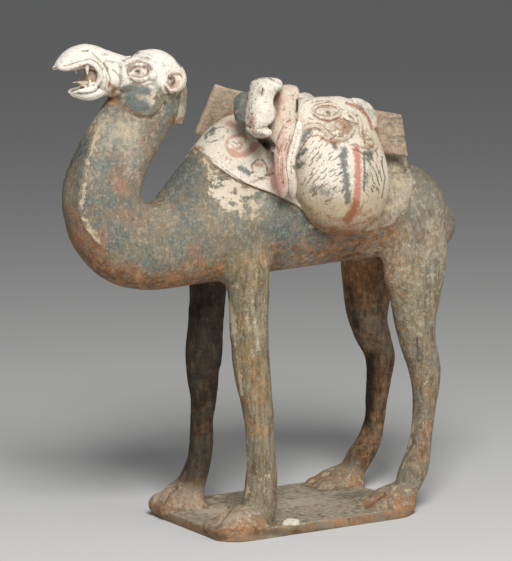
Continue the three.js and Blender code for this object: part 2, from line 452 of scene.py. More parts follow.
class Clay:
    """Closed forms pressed together, each with the name of the part that it belongs to."""

    def __init__(self, sight: Sight) -> None:
        """Starts with no clay.

        Args:
            sight: viewpoint by which forms are placed.
        """
        self.sight = sight
        self.body = bmesh.new()
        self.layer = self.body.faces.layers.int.new("part")
        self.tree: BVHTree | None = None

    def press(self, part: Part, form: bmesh.types.BMesh, both: bool = False) -> None:
        """Adds a form, and frees it.

        Args:
            part: what it is a part of.
            form: closed form in millimetres.
            both: adds its mirror image on the other side too.
        """
        for side in (1, -1) if both else (1,):
            bmesh.ops.transform(form, matrix=Matrix.Diagonal((1, side, 1, 1)), verts=form.verts)
            bmesh.ops.recalc_face_normals(form, faces=form.faces)
            data = bpy.data.meshes.new("pressed")
            form.to_mesh(data)
            start = len(self.body.faces)
            self.body.from_mesh(data)
            self.body.faces.ensure_lookup_table()
            for face in self.body.faces[start:]:
                face[self.layer] = int(part)
            bpy.data.meshes.remove(data)
        form.free()
        self.tree = None

    def skin(self) -> BVHTree:
        """Searches all that is pressed on so far.

        Returns:
            Its search tree.
        """
        if self.tree is None:
            self.tree = BVHTree.FromBMesh(self.body)
        return self.tree

    def tree_of(self, part: Part) -> BVHTree:
        """Searches the forms of one part.

        Args:
            part: the part.

        Returns:
            Their search tree.
        """
        alone = self.body.copy()
        layer = alone.faces.layers.int["part"]
        others = [face for face in alone.faces if face[layer] != int(part)]
        bmesh.ops.delete(alone, geom=others, context="FACES")
        tree = BVHTree.FromBMesh(alone)
        alone.free()
        return tree

    def feel(self, u: float, v: float, lift: float = 0.0) -> tuple[Vector, Vector]:
        """Finds the clay under a pixel of the picture.

        Args:
            u: pixels across.
            v: pixels down.
            lift: height above the clay.

        Returns:
            The point and the direction that the clay faces there.
        """
        hit, normal, _, _ = self.skin().ray_cast(Vector(self.sight.eye()), self.sight.ray(u, v))
        if hit is None:
            raise ValueError(f"no clay at {u}, {v}")
        return hit + normal * lift, normal

    def press_all(self, forms: Iterable["Form"]) -> None:
        """Presses a row of forms.

        Args:
            forms: the forms, in their order.
        """
        for form in forms:
            form.press(self)


class Form(Protocol):
    """Something that can be pressed onto the clay."""

    def press(self, clay: Clay) -> None:
        """Presses the form.

        Args:
            clay: what it is pressed onto.
        """


@dataclass(frozen=True)
class Strand:
    """Strand in the air along places given as pixels across and down and a depth in millimetres."""

    part: Part
    places: tuple[Spot, ...]
    radii: tuple[float, ...]
    both: bool = True
    squash: float = 1.0

    def press(self, clay: Clay) -> None:
        """Presses the strand, flattened from above where it is squashed.

        Args:
            clay: what it is pressed onto.
        """
        points = [clay.sight.at(*place) for place in self.places]
        flat = UP if self.squash < 1 else None
        clay.press(self.part, rod(points, self.radii, flat, self.squash), self.both)


@dataclass(frozen=True)
class Lump:
    """Lump at a pixel across and down and a depth, with its half sizes."""

    part: Part
    place: Spot
    size: Spot
    both: bool = True

    def press(self, clay: Clay) -> None:
        """Presses the lump.

        Args:
            clay: what it is pressed onto.
        """
        clay.press(self.part, ball(clay.sight.at(*self.place), self.size), self.both)


@dataclass(frozen=True)
class Ridge:
    """Strand laid on the clay along a line of pixels, its middle lifted off it."""

    part: Part
    places: tuple[Place, ...]
    radii: tuple[float, ...]
    lift: float = 0.0

    def press(self, clay: Clay) -> None:
        """Lays the strand on both sides.

        Args:
            clay: what it is laid on.
        """
        points = [clay.feel(*place, self.lift)[0] for place in self.places]
        clay.press(self.part, rod(points, self.radii), True)


@dataclass(frozen=True)
class Bead:
    """Lump laid on the clay at a pixel: half sizes along, up and out, lift, and roll in degrees."""

    part: Part
    place: Place
    size: Spot
    lift: float = 0.0
    roll: float = 0.0

    def press(self, clay: Clay) -> None:
        """Lays the lump on both sides, turned to the way that the clay faces.

        Args:
            clay: what it is laid on.
        """
        point, normal = clay.feel(*self.place, self.lift)
        turn = normal.to_track_quat("Z", "Y").to_matrix().to_4x4()
        turn = turn @ Matrix.Rotation(math.radians(self.roll), 4, "Z")
        clay.press(self.part, ball(point, self.size, turn), True)


# The figure's forms

@dataclass(frozen=True)
class Trunk:
    """Barrel of the body and its two humps."""

    half_width: float = 58.0
    sides: int = 56
    front_hump: tuple[Station, ...] = (
        (-74, 0, 335, 72, 45), (-62, 0, 358, 62, 40), (-55, 0, 380, 46, 33),
        (-51, 0, 398, 31, 25), (-50, 0, 409, 15, 14), (-50, 0, 412, 4, 4),
    )
    rear_hump: tuple[Station, ...] = (
        (104, 0, 335, 56, 44), (98, 0, 360, 46, 36), (93, 0, 384, 30, 26), (91, 0, 400, 14, 13),
        (90, 0, 404, 4, 4),
    )

    def barrel(self) -> tuple[Station, ...]:
        """Lays out the barrel.

        Returns:
            Stations from the chest to the rump.
        """
        w = self.half_width
        return (
            (-152, 0, 292, 34, w - 24), (-130, 0, 294, 46, w - 14), (-95, 0, 302, 55, w - 5),
            (-50, 0, 310, 59, w), (0, 0, 310, 55, w), (50, 0, 311, 54, w - 1), (98, 0, 311, 52, w - 1),
            (136, 0, 308, 50, w - 6), (162, 0, 292, 42, w - 14), (181, 0, 283, 32, w - 24),
            (192, 0, 275, 20, 24), (197, 0, 270, 8, 12),
        )

    def forms(self, grow: float) -> list[bmesh.types.BMesh]:
        """Lofts the barrel and the humps.

        Args:
            grow: how much thicker than the body they are.

        Returns:
            The three closed forms.
        """
        return [
            loft(self.barrel(), sides=self.sides, rings=60, grow=grow),
            loft(self.front_hump, rings=24, facing=UP, grow=grow),
            loft(self.rear_hump, rings=24, facing=UP, grow=grow),
        ]

    def build(self, clay: Clay) -> None:
        """Presses the trunk.

        Args:
            clay: what it is pressed onto.
        """
        for form in self.forms(0.0):
            clay.press(Part.TRUNK, form)


@dataclass(frozen=True)
class Blanket:
    """Saddle blanket: a skin over the back, cut to its hem."""

    thick: float = 4.0
    reach: float = 90.0
    hem: tuple[Place, ...] = (
        (-106, 460), (-106, 385), (-100, 368), (-88, 357), (-74, 349), (-56, 342), (-38, 335), (-20, 324),
        (-5, 312), (20, 300), (45, 296), (70, 296), (92, 300), (110, 318), (126, 342), (134, 372), (134, 460),
    )

    def prism(self) -> bmesh.types.BMesh:
        """Extrudes the hem's outline, as seen from the side, across the back.

        Returns:
            The closed block.
        """
        form = bmesh.new()
        verts = [form.verts.new((x, -self.reach, z)) for x, z in self.hem]
        face = bmesh.ops.contextual_create(form, geom=verts)["faces"]
        moved = bmesh.ops.extrude_face_region(form, geom=face, use_keep_orig=True)["geom"]
        far = [item for item in moved if isinstance(item, bmesh.types.BMVert)]
        bmesh.ops.translate(form, verts=far, vec=(0, 2 * self.reach, 0))
        return form

    def build(self, clay: Clay, trunk: Trunk) -> None:
        """Presses the blanket onto the trunk.

        Args:
            clay: what it is pressed onto.
            trunk: the body that it covers.
        """
        for form in trunk.forms(self.thick):
            clay.press(Part.BLANKET, common(form, self.prism()))


@dataclass(frozen=True)
class Neck:
    """Neck, a deep S from the chest to the back of the skull."""

    stations: tuple[Station, ...] = (
        (-105, 0, 296, 48, 50), (-150, 0, 288, 43, 44), (-184, 0, 293, 41, 37), (-205, 0, 318, 40, 32),
        (-209, 0, 345, 38.5, 29), (-197, 0, 376, 36, 27), (-178, 0, 404, 35, 26), (-160, 0, 428, 33, 26),
        (-148, 0, 445, 27, 23),
    )
    ridge: Ridge = Ridge(
        Part.NECK, ((99, 124), (88, 150), (82, 180), (79, 205), (85, 226), (98, 242), (112, 252), (126, 259)),
        (1.2, 2.0, 2.2, 2.2, 1.8, 1.0), -1.0,
    )

    def build(self, clay: Clay) -> None:
        """Presses the neck and the two ridges beside its front strip of hair.

        Args:
            clay: what it is pressed onto.
        """
        clay.press(Part.NECK, loft(self.stations, sides=48, rings=70, square=2.2))
        self.ridge.press(clay)


@dataclass(frozen=True)
class Head:
    """Raised head with its mouth open: skull, jaw, teeth, tongue, eyes, ears and nape hair."""

    face: tuple[Station, ...] = (
        (-122, 0, 455, 10, 12), (-132, 0, 452, 20, 22), (-150, 0, 450, 28, 26), (-165, 0, 448, 31, 27),
        (-180, 0, 452, 23, 24), (-195, 0, 461, 17, 20), (-210, 0, 469, 13.5, 17), (-225, 0, 475, 11.5, 15),
        (-240, 0, 472, 10, 13), (-252, 0, 467.5, 5.5, 9), (-257, 0, 466, 2, 4),
    )
    jaw: tuple[Station, ...] = (
        (-178, 0, 438, 10, 15), (-205, 0, 443, 6.5, 12), (-222, 0, 440, 7, 11), (-234, 0, 439, 4.5, 8),
        (-242, 0, 439.5, 1.5, 3),
    )
    nape: tuple[Station, ...] = (
        (-138, 0, 462, 12, 16), (-131, 0, 440, 11, 18), (-130, 0, 420, 9, 17), (-131, 0, 407, 7, 14),
    )
    crown: tuple[Spot, Spot] = ((-153, 0, 460), (27, 22, 20))
    cheek: tuple[Spot, Spot] = ((-171, -9, 434), (24, 18, 21))
    mouth: tuple[Form, ...] = (
        Lump(Part.MOUTH, (100, 76, 0), (17, 12, 13), False),
        Lump(Part.HEAD, (109, 78, -9), (14, 10, 13)),
        # Tongue, and the part of it that lies on the lower jaw.
        Strand(
            Part.MOUTH, ((98, 84, -2), (90, 84, -3), (80, 82.5, -4), (70, 83, -4)), (6, 5, 3, 1), False, 0.5,
        ),
        Strand(Part.MOUTH, ((96, 88, -4), (88, 87, -5), (80, 86, -6)), (5, 4, 1.5), False, 0.6),
        # Upper lip, corner of the mouth and lower lip.
        Strand(
            Part.HEAD, ((57, 67, -3), (63, 69, -9), (71, 68, -12), (79, 65, -13), (87, 62, -14)),
            (1.2, 2.0, 2.2, 2.2, 2.2),
        ),
        Strand(
            Part.HEAD, ((87, 62, -14), (94, 65, -15), (99, 71, -16), (100, 78, -15), (96, 86, -13)),
            (2.2, 2.4, 2.4, 2.4, 2.0),
        ),
        Strand(Part.HEAD, ((97, 87, -12), (89, 90, -11), (80, 91, -9), (72, 93, -4)), (2.2, 2.2, 2.0, 1.2)),
    )
    teeth: tuple[tuple[Spot, Spot, float], ...] = (
        ((86.5, 62, -11), (87.5, 76, -11), 2.2), ((91, 87, -10), (89.5, 79, -10), 1.3),
        ((94.5, 87, -11), (93, 81, -11), 1.2),
    )
    tooth_waist: float = 0.8
    tooth_tip: float = 0.5
    eye: tuple[Form, ...] = (
        # Brow, eyeball, upper lid, lower lid, pupil, and the boss behind the eye.
        Ridge(
            Part.HEAD, ((121, 66), (127, 62), (136, 59.5), (147, 61), (156, 66)),
            (1.5, 2.6, 3.0, 2.6, 1.4), 0.2,
        ),
        Bead(Part.EYE, (139, 72), (9.0, 4.6, 2.6), 0.3, 4),
        Ridge(
            Part.HEAD, ((128, 72), (131, 67.5), (137, 65), (144, 66), (150, 70.5)),
            (0.9, 1.3, 1.5, 1.4, 1.0), 1.3,
        ),
        Ridge(
            Part.HEAD, ((129, 73), (132, 77.5), (138, 80), (144, 79.5), (149, 76)),
            (1.0, 1.5, 1.6, 1.5, 1.0), 1.4,
        ),
        Bead(Part.EYE, (138, 71.5), (2.9, 2.7, 1.6), 0.8),
        Bead(Part.HEAD, (152, 75.5), (4.2, 4.4, 3.0), 1.0),
    )
    ear: tuple[Form, ...] = (
        # Rim, cup, its inner fold, and the root.
        Strand(
            Part.EAR,
            (
                (168, 76, -28), (173, 72.5, -31), (180, 72, -34), (184, 77, -35), (182, 84, -35),
                (177, 89.5, -33), (170, 90, -30), (166.5, 84, -28),
            ),
            (1.5, 1.7, 1.9, 2.0, 2.0, 1.9, 1.7, 1.5),
        ),
        Lump(Part.EAR, (177.5, 81, -29), (8, 7, 8.5)),
        Lump(Part.EAR, (182, 78, -30), (4, 4, 6)),
        Lump(Part.EAR, (170, 86, -22), (9, 6.5, 7)),
    )

    def build(self, clay: Clay) -> None:
        """Presses the whole head.

        Args:
            clay: what it is pressed onto.
        """
        clay.press(Part.HEAD, loft(self.face, sides=40, rings=60))
        clay.press(Part.HEAD, ball(*self.crown))
        clay.press(Part.HEAD, ball(*self.cheek), both=True)
        clay.press(Part.NAPE, loft(self.nape, sides=24, rings=16, square=3.0))
        clay.press(Part.HEAD, loft(self.jaw, sides=32, rings=30))
        clay.press_all(self.mouth)
        for root_place, tip_place, thick in self.teeth:
            root, tip = clay.sight.at(*root_place), clay.sight.at(*tip_place)
            radii = (thick, thick * self.tooth_waist, self.tooth_tip)
            clay.press(Part.TOOTH, rod([root, (root + tip) / 2, tip], radii), both=True)
        clay.press_all(self.eye)
        clay.press_all(self.ear)


@dataclass(frozen=True)
class Leg:
    """One leg from inside the body down to its foot, and the broad two-toed pad: x, y, half sizes."""

    part: Part
    stations: tuple[Station, ...]
    pad: tuple[float, float, float, float]
    rise: float = 1.0
    sole: float = 4.0
    # Shift, height, and shares of the pad's length and width at each level of the foot.
    levels: tuple[tuple[float, float, float, float], ...] = (
        (0, 0, 0.96, 0.96), (0, 6, 1, 1), (3, 12, 0.9, 0.92), (8, 19, 0.66, 0.74), (15, 25, 0.34, 0.46),
    )
    toe: Spot = (14, 11, 8)
    # How far ahead and aside a toe lies, as shares of the pad's length and width, and how high.
    toe_place: Spot = (0.55, 0.45, 6)

    def build(self, clay: Clay) -> None:
        """Presses the leg, its foot and two toes.

        Args:
            clay: what it is pressed onto.
        """
        clay.press(self.part, loft(self.stations, sides=32, rings=80, facing=-UP))
        x, y, length, width = self.pad
        foot = [
            (x + shift, y, self.sole + high * self.rise, length * long, width * wide)
            for shift, high, long, wide in self.levels
        ]
        clay.press(Part.FOOT, loft(foot, sides=40, rings=20, square=2.3, facing=UP))
        ahead, aside, high = self.toe_place
        for side in (-1, 1):
            middle = (x - length * ahead, y + side * width * aside, self.sole + high * self.rise)
            clay.press(Part.FOOT, ball(middle, (*self.toe[:2], self.toe[2] * self.rise)))


LEGS = (
    Leg(
        Part.FORE_LEFT,
        (
            (-66, -34, 292, 27, 20), (-69, -38, 262, 24, 22), (-67, -39, 232, 20.5, 20),
            (-67.5, -40.5, 200, 19, 18.5), (-66, -43, 165, 18.5, 18), (-63.5, -44.5, 142, 17, 16.5),
            (-60, -46, 118, 15.3, 15), (-59, -48, 92, 14, 14), (-58, -49.5, 68, 14.5, 14.5),
            (-60, -51, 48, 16.5, 16), (-63, -52, 26, 18, 17), (-68, -52, 12, 17, 17),
        ),
        (-89, -52, 31, 26),
    ),
    Leg(
        Part.FORE_RIGHT,
        (
            (-66, 34, 292, 27, 20), (-67, 36, 262, 23, 21), (-68, 38, 228, 18.5, 18),
            (-69.5, 40, 193, 18.5, 18), (-70, 43, 165, 19, 18), (-70, 44.5, 146, 16.5, 16),
            (-68.5, 46, 121, 13.5, 13.5), (-70, 47, 100, 12.2, 12.2), (-70, 48, 78, 12, 12),
            (-71.5, 49.5, 58, 12.5, 12.5), (-77, 51, 42, 15, 14), (-82, 52, 28, 17, 15),
            (-86, 52, 13, 15, 15),
        ),
        (-94, 53, 26.5, 24),
        rise=1.4,
    ),
    Leg(
        Part.HIND_LEFT,
        (
            (124, -34, 302, 46, 22), (135, -38, 267, 39, 25), (133, -40, 240, 34, 24),
            (134, -40, 217, 27, 22), (134, -41, 190, 21.5, 19), (138, -43, 166, 19, 17),
            (144, -44, 146, 17.5, 15.5), (145, -45, 125, 14.5, 13.5), (142.5, -46, 105, 12, 12),
            (138, -48, 80, 11.5, 11.5), (133, -49.5, 60, 13, 13), (127, -51, 43, 16, 15),
            (119, -52, 28, 15, 14), (109, -53, 14, 13, 14),
        ),
        (94, -53, 28, 25),
    ),
    Leg(
        Part.HIND_RIGHT,
        (
            (126, 34, 302, 44, 22), (135, 38, 267, 38, 25), (133, 40, 240, 33, 24), (131, 40, 217, 28, 22),
            (131, 41, 190, 22.5, 19), (139, 42, 166, 20, 17), (149, 44, 144, 17, 15.5),
            (149, 45, 121, 13.5, 13.5), (147, 46, 100, 12, 12), (146, 48, 78, 11, 11),
            (141, 49.5, 57, 13, 13), (133, 51, 43, 16, 15), (124, 52, 28, 16, 14), (115, 53, 14, 14, 14),
        ),
        (100, 53, 32, 24),
    ),
)


@dataclass(frozen=True)
class Plinth:
    """Thin slab under the feet, its corners rounded to the feet."""

    length: float = 235.0
    width: float = 158.0
    thick: float = 10.0
    corner: float = 26.0
    edge: float = 2.2

    def build(self, clay: Clay) -> None:
        """Presses the slab.

        Args:
            clay: what it is pressed onto.
        """
        form = bmesh.new()
        size = Matrix.Diagonal((self.length, self.width, self.thick, 1))
        bmesh.ops.create_cube(form, size=1, matrix=Matrix.Translation((0, 0, self.thick / 2)) @ size)
        upright = [e for e in form.edges if abs(e.verts[0].co.z - e.verts[1].co.z) > 1]
        bmesh.ops.bevel(
            form, geom=upright, offset=self.corner, segments=10, profile=0.5, affect="EDGES", material=-1
        )
        rim = [e for e in form.edges if all(v.co.z > self.thick / 2 for v in e.verts)]
        bmesh.ops.bevel(
            form, geom=rim, offset=self.edge, segments=3, profile=0.5, affect="EDGES", material=-1
        )
        clay.press(Part.SLAB, form)


@dataclass(frozen=True)
class Load:
    """Boards, bundle and bags with the beast's mask, and what hangs in front of them."""

    board_length: float = 179.0
    board_thick: float = 6.0
    board_foot: float = 52.0
    board_edge: float = 1.4
    # Part, side, x, z, tilt, height and lean of each board.
    boards: tuple[tuple[Part, int, float, float, float, float, float], ...] = (
        (Part.BOARD, -1, 26, 382, 10, 47, 28), (Part.FAR_BOARD, 1, 12, 368, 15, 55, 20),
    )
    fullness: float = 2.3
    squareness: float = 2.7
    bag: tuple[Station, ...] = (
        (31, -58, 294, 12, 10), (30, -61, 301, 28, 20), (28, -63, 318, 43, 29), (26, -63, 340, 50, 34),
        (25, -60, 365, 51, 33), (23, -54, 390, 48, 28), (20, -47, 410, 43, 22), (18, -42, 424, 36, 14),
        (18, -40, 430, 22, 6),
    )
    bundle: tuple[Station, ...] = (
        (-45, 0, 392, 12, 20), (-25, 0, 398, 24, 34), (15, 0, 400, 26, 38), (60, 0, 398, 25, 36),
        (82, 0, 392, 12, 22),
    )
    goods: tuple[tuple[Part, tuple[Section, ...]], ...] = (
        (Part.EWER, (
            (261, 137, -62, 6), (261, 134, -62, 9.5), (258, 130, -61, 10.5), (256.5, 126, -60, 9.5),
            (259, 121, -60, 12), (260.5, 113, -59, 13), (260, 104, -58, 11.8), (261, 96, -57, 12),
            (265, 88, -56, 14.5), (266, 82, -55, 14), (267, 78.5, -54, 9), (267, 77.5, -54, 3),
        )),
        (Part.TABLET, (
            (275, 152, -56, 4), (278, 143, -58, 8), (281, 130, -58, 11), (283.5, 115, -56, 12.5),
            (285, 102, -54, 12), (287, 93, -52, 11), (288, 87, -52, 8.5), (288, 85, -52, 4),
        )),
        (Part.CLOTH, ((243, 121, -44, 7), (243, 110, -43, 8.5), (244, 99, -42, 8.5), (246, 92, -42, 5))),
    )
    # The ewer's belly, the ring on its neck and its foot.
    details: tuple[Form, ...] = (
        Lump(Part.EWER, (263, 112, -66), (9, 8, 10), False),
        Strand(
            Part.EWER, ((261, 86, -70), (264, 89.5, -70), (261, 94, -70), (258, 90.5, -70), (261, 86, -70)),
            (0.8, 0.9, 0.9, 0.9, 0.8), False,
        ),
        Strand(Part.EWER, ((262, 131, -74), (266, 133, -73), (270, 132, -70)), (3.0, 3.6, 3.0), False),
    )
    # Brow, lids, lip from end to end, cheek curls and creases.
    mask_lines: tuple[tuple[tuple[Place, ...], tuple[float, ...], float], ...] = (
        (((299, 112), (306, 103), (318, 99), (332, 100), (343, 106)), (1.5, 2.6, 3.0, 2.6, 1.5), -1.4),
        (((311, 111), (318, 106), (327, 104.5), (335, 106), (341, 111)), (0.6, 1.0, 1.1, 1.0, 0.6), 0.9),
        (((312, 112), (319, 117), (328, 119), (336, 117), (341, 112)), (0.8, 1.4, 1.7, 1.4, 0.8), 0.6),
        (
            (
                (296, 146), (299, 135), (304, 129), (311, 126), (319, 126.5), (325, 132), (332, 137),
                (341, 139), (349, 136),
            ),
            (0.9, 1.4, 1.7, 1.9, 1.9, 1.7, 1.8, 1.9, 1.4), 0.3,
        ),
        (((349, 136), (353, 130), (353, 122), (348, 117)), (1.2, 1.6, 1.6, 1.0), 0.2),
        (
            ((356, 112), (360, 121), (361, 130), (364, 139), (370, 137), (374, 140)),
            (0.9, 1.5, 1.7, 2.0, 1.8, 1.4), 0.1,
        ),
        (
            ((374, 140), (376, 146), (371, 151), (364, 151), (357, 148), (350, 147)),
            (1.3, 1.9, 2.1, 2.0, 1.8, 1.2), 0.1,
        ),
        (((300, 119), (308, 121), (316, 122)), (0.8, 1.4, 0.8), -0.1),
        (((345, 110), (351, 114), (356, 120)), (0.8, 1.3, 0.8), 0.0),
    )
    # Eyeball, pupil, nose, nostril wing and the ends of the curls.
    mask_lumps: tuple[tuple[Place, Spot, float], ...] = (
        ((326, 112), (9, 5, 2.4), 0.0), ((327.5, 112), (2.6, 2.4, 1.4), 1.2),
        ((343, 126), (7.5, 6.5, 4.0), 0.2), ((330, 127), (4.5, 3.5, 2.2), 0.2),
        ((369, 134), (3.6, 3.2, 2.6), 0.6), ((369, 144), (3.6, 3.4, 2.2), 0.4),
    )
    mask_roll: float = -8.0
    # Rolled cloth behind the mask, with a strand laid along it.
    roll: tuple[Form, ...] = (
        Strand(
            Part.ROLL, ((345, 105, -44), (354, 103, -46), (364, 107, -49), (371, 116, -52), (375, 128, -56)),
            (4, 5.5, 6, 5.5, 4),
        ),
        Strand(
            Part.SKEIN, ((347, 103, -50), (354, 107, -52), (362, 112, -55), (367, 120, -58), (371, 130, -61)),
            (1.2, 2, 2.2, 2, 1.2),
        ),
    )
    # Skein of two strands at the front edge of the bag.
    skein: tuple[Form, ...] = (
        Strand(
            Part.SKEIN,
            (
                (293, 110, -58), (290, 121, -64), (286, 135, -70), (281, 151, -74), (280, 168, -76),
                (282, 183, -74), (283, 196, -69),
            ),
            (3.6, 5.2, 6.0, 6.2, 6.0, 5.8, 4.6), False,
        ),
        Strand(
            Part.SKEIN,
            (
                (299, 118, -62), (298, 130, -67), (295, 143, -72), (291, 156, -75), (290, 170, -77),
                (292, 184, -75), (293, 196, -70),
            ),
            (3.4, 4.6, 5.0, 5.2, 5.2, 5.0, 4.2), False,
        ),
    )

    def build(self, clay: Clay) -> None:
        """Presses the whole load.

        Args:
            clay: what they are pressed onto.
        """
        for board in self.boards:
            self.board(clay, *board)
        clay.press(Part.BLANKET, loft(self.bundle, sides=40, rings=30))
        clay.press(Part.BAG, loft(self.bag, sides=64, rings=60, square=self.fullness, facing=UP), both=True)
        clay.press_all(Ridge(Part.MASK, *line) for line in self.mask_lines)
        clay.press_all(Bead(Part.MASK, *lump, self.mask_roll) for lump in self.mask_lumps)
        clay.press_all(self.roll)
        for part, sections in self.goods:
            stations = [(*clay.sight.at(u, v, y), half, half) for u, v, y, half in sections]
            clay.press(part, loft(stations, sides=32, rings=40, square=self.squareness, facing=UP))
        clay.press_all(self.details)
        clay.press_all(self.skein)

    def board(
        self, clay: Clay, part: Part, side: int, x: float, z: float, tilt: float, height: float, lean: float
    ) -> None:
        """Presses the pack board of one side.

        Args:
            clay: what it is pressed onto.
            part: what it is.
            side: -1 for left, 1 for right.
            x: how far back its middle is.
            z: height of its foot.
            tilt: how far its front end is raised, in degrees.
            height: its own height.
            lean: how far it leans out, in degrees.
        """
        turn = Matrix.Rotation(math.radians(tilt), 4, "Y")
        turn = turn @ Matrix.Rotation(side * math.radians(lean), 4, "X")
        foot = Matrix.Translation((x, side * self.board_foot, z))
        place = foot @ turn @ Matrix.Translation((0, 0, height / 2))
        clay.press(part, slab_form((self.board_length, self.board_thick, height), place, self.board_edge))


# Marks cut or painted on the near side, as seen in the photograph

@dataclass(frozen=True)
class Mark:
    """A line cut into the clay, raised from it, or painted on it.

    Places are pixels of the photograph, width is half across in pixels, and depth is in
    millimetres, minus for a raised line.
    """

    places: tuple[Place, ...]
    width: float
    depth: float = 0.0
    coat: Coat | None = None
    both: bool = True
    strength: float = 1.0


@dataclass(frozen=True)
class Wash:
    """A soft cloud of one coat, in pixels: middle, reach across and down, and strength."""

    coat: Coat
    u: float
    v: float
    across: float
    down: float
    strength: float = 1.0


def drawn(coat: Coat | None, *rows: Sequence[float], both: bool = True) -> tuple[Mark, ...]:
    """Marks of one coat, or cut marks without paint.

    Args:
        coat: what they are painted with, or none for cuts.
        rows: for each mark its width, the depth of a cut or the strength of a coat, and then the
            pixels across and down of each place on its line.
        both: repeats them on the other side.

    Returns:
        The marks.
    """
    return tuple(
        Mark(tuple(zip(line[::2], line[1::2])), width, 0.0 if coat else amount, coat, both, amount)
        for width, amount, *line in rows
    )


CUTS: tuple[Mark, ...] = (
    # Creases of the head, belly seam, folds and nostrils of the mask.
    *drawn(
        None,
        (1.3, 1.4, 104, 64, 108, 71, 110.5, 79, 109, 88), (1, 1, 106, 75, 107, 81, 105, 88),
        (1.3, 0.9, 92, 53, 97, 57, 101, 62), (1.2, 1.3, 82, 51, 88, 50.5),
        (2.2, 2.6, 124, 106, 130, 112, 140, 117, 151, 118, 160, 113, 166, 104),
        (2.4, 4.5, 172, 79, 173, 81.5, 172, 84), (1.6, 0.9, 133, 84, 143, 86, 152, 84),
        (1.5, 3.2, 339, 259, 348, 256.5, 358, 254), (1.8, 1.8, 345, 126, 346, 128),
        (1.6, 1.6, 340, 134, 343, 134), (1.4, 1.4, 329, 126, 331, 128), (1.4, 1.2, 368, 139, 369, 140),
        (1.8, 1.4, 300, 150, 304, 142, 310, 136, 317, 135), (1.4, 1.2, 344, 118, 349, 122, 352, 128),
    ),
    # Hollow under the goods, toes, and the crack in the slab.
    *drawn(
        None,
        (3.2, 5, 262, 139, 268, 144, 274, 149), (1, 1.2, 246, 126, 255, 129, 265, 127),
        (2, 2.6, 216, 527, 222, 518, 229, 509), (2, 2.4, 162, 503, 168, 494, 176, 488),
        (2, 2.4, 366, 507, 374, 500, 384, 494), (1.8, 2, 312, 483, 320, 477, 330, 473),
        (0.9, 1.6, 349, 519, 350, 526),
        both=False,
    ),
)

SPECKS: tuple[Place, ...] = (
    (251, 84), (249, 90), (252, 94), (248, 99), (251, 104), (249, 109), (252, 114), (248, 118), (251, 122),
    (254, 126), (250, 128), (256, 131), (258, 84), (256, 99), (293, 99), (298, 104), (290, 118), (296, 112),
    (286, 128), (297, 120),
)

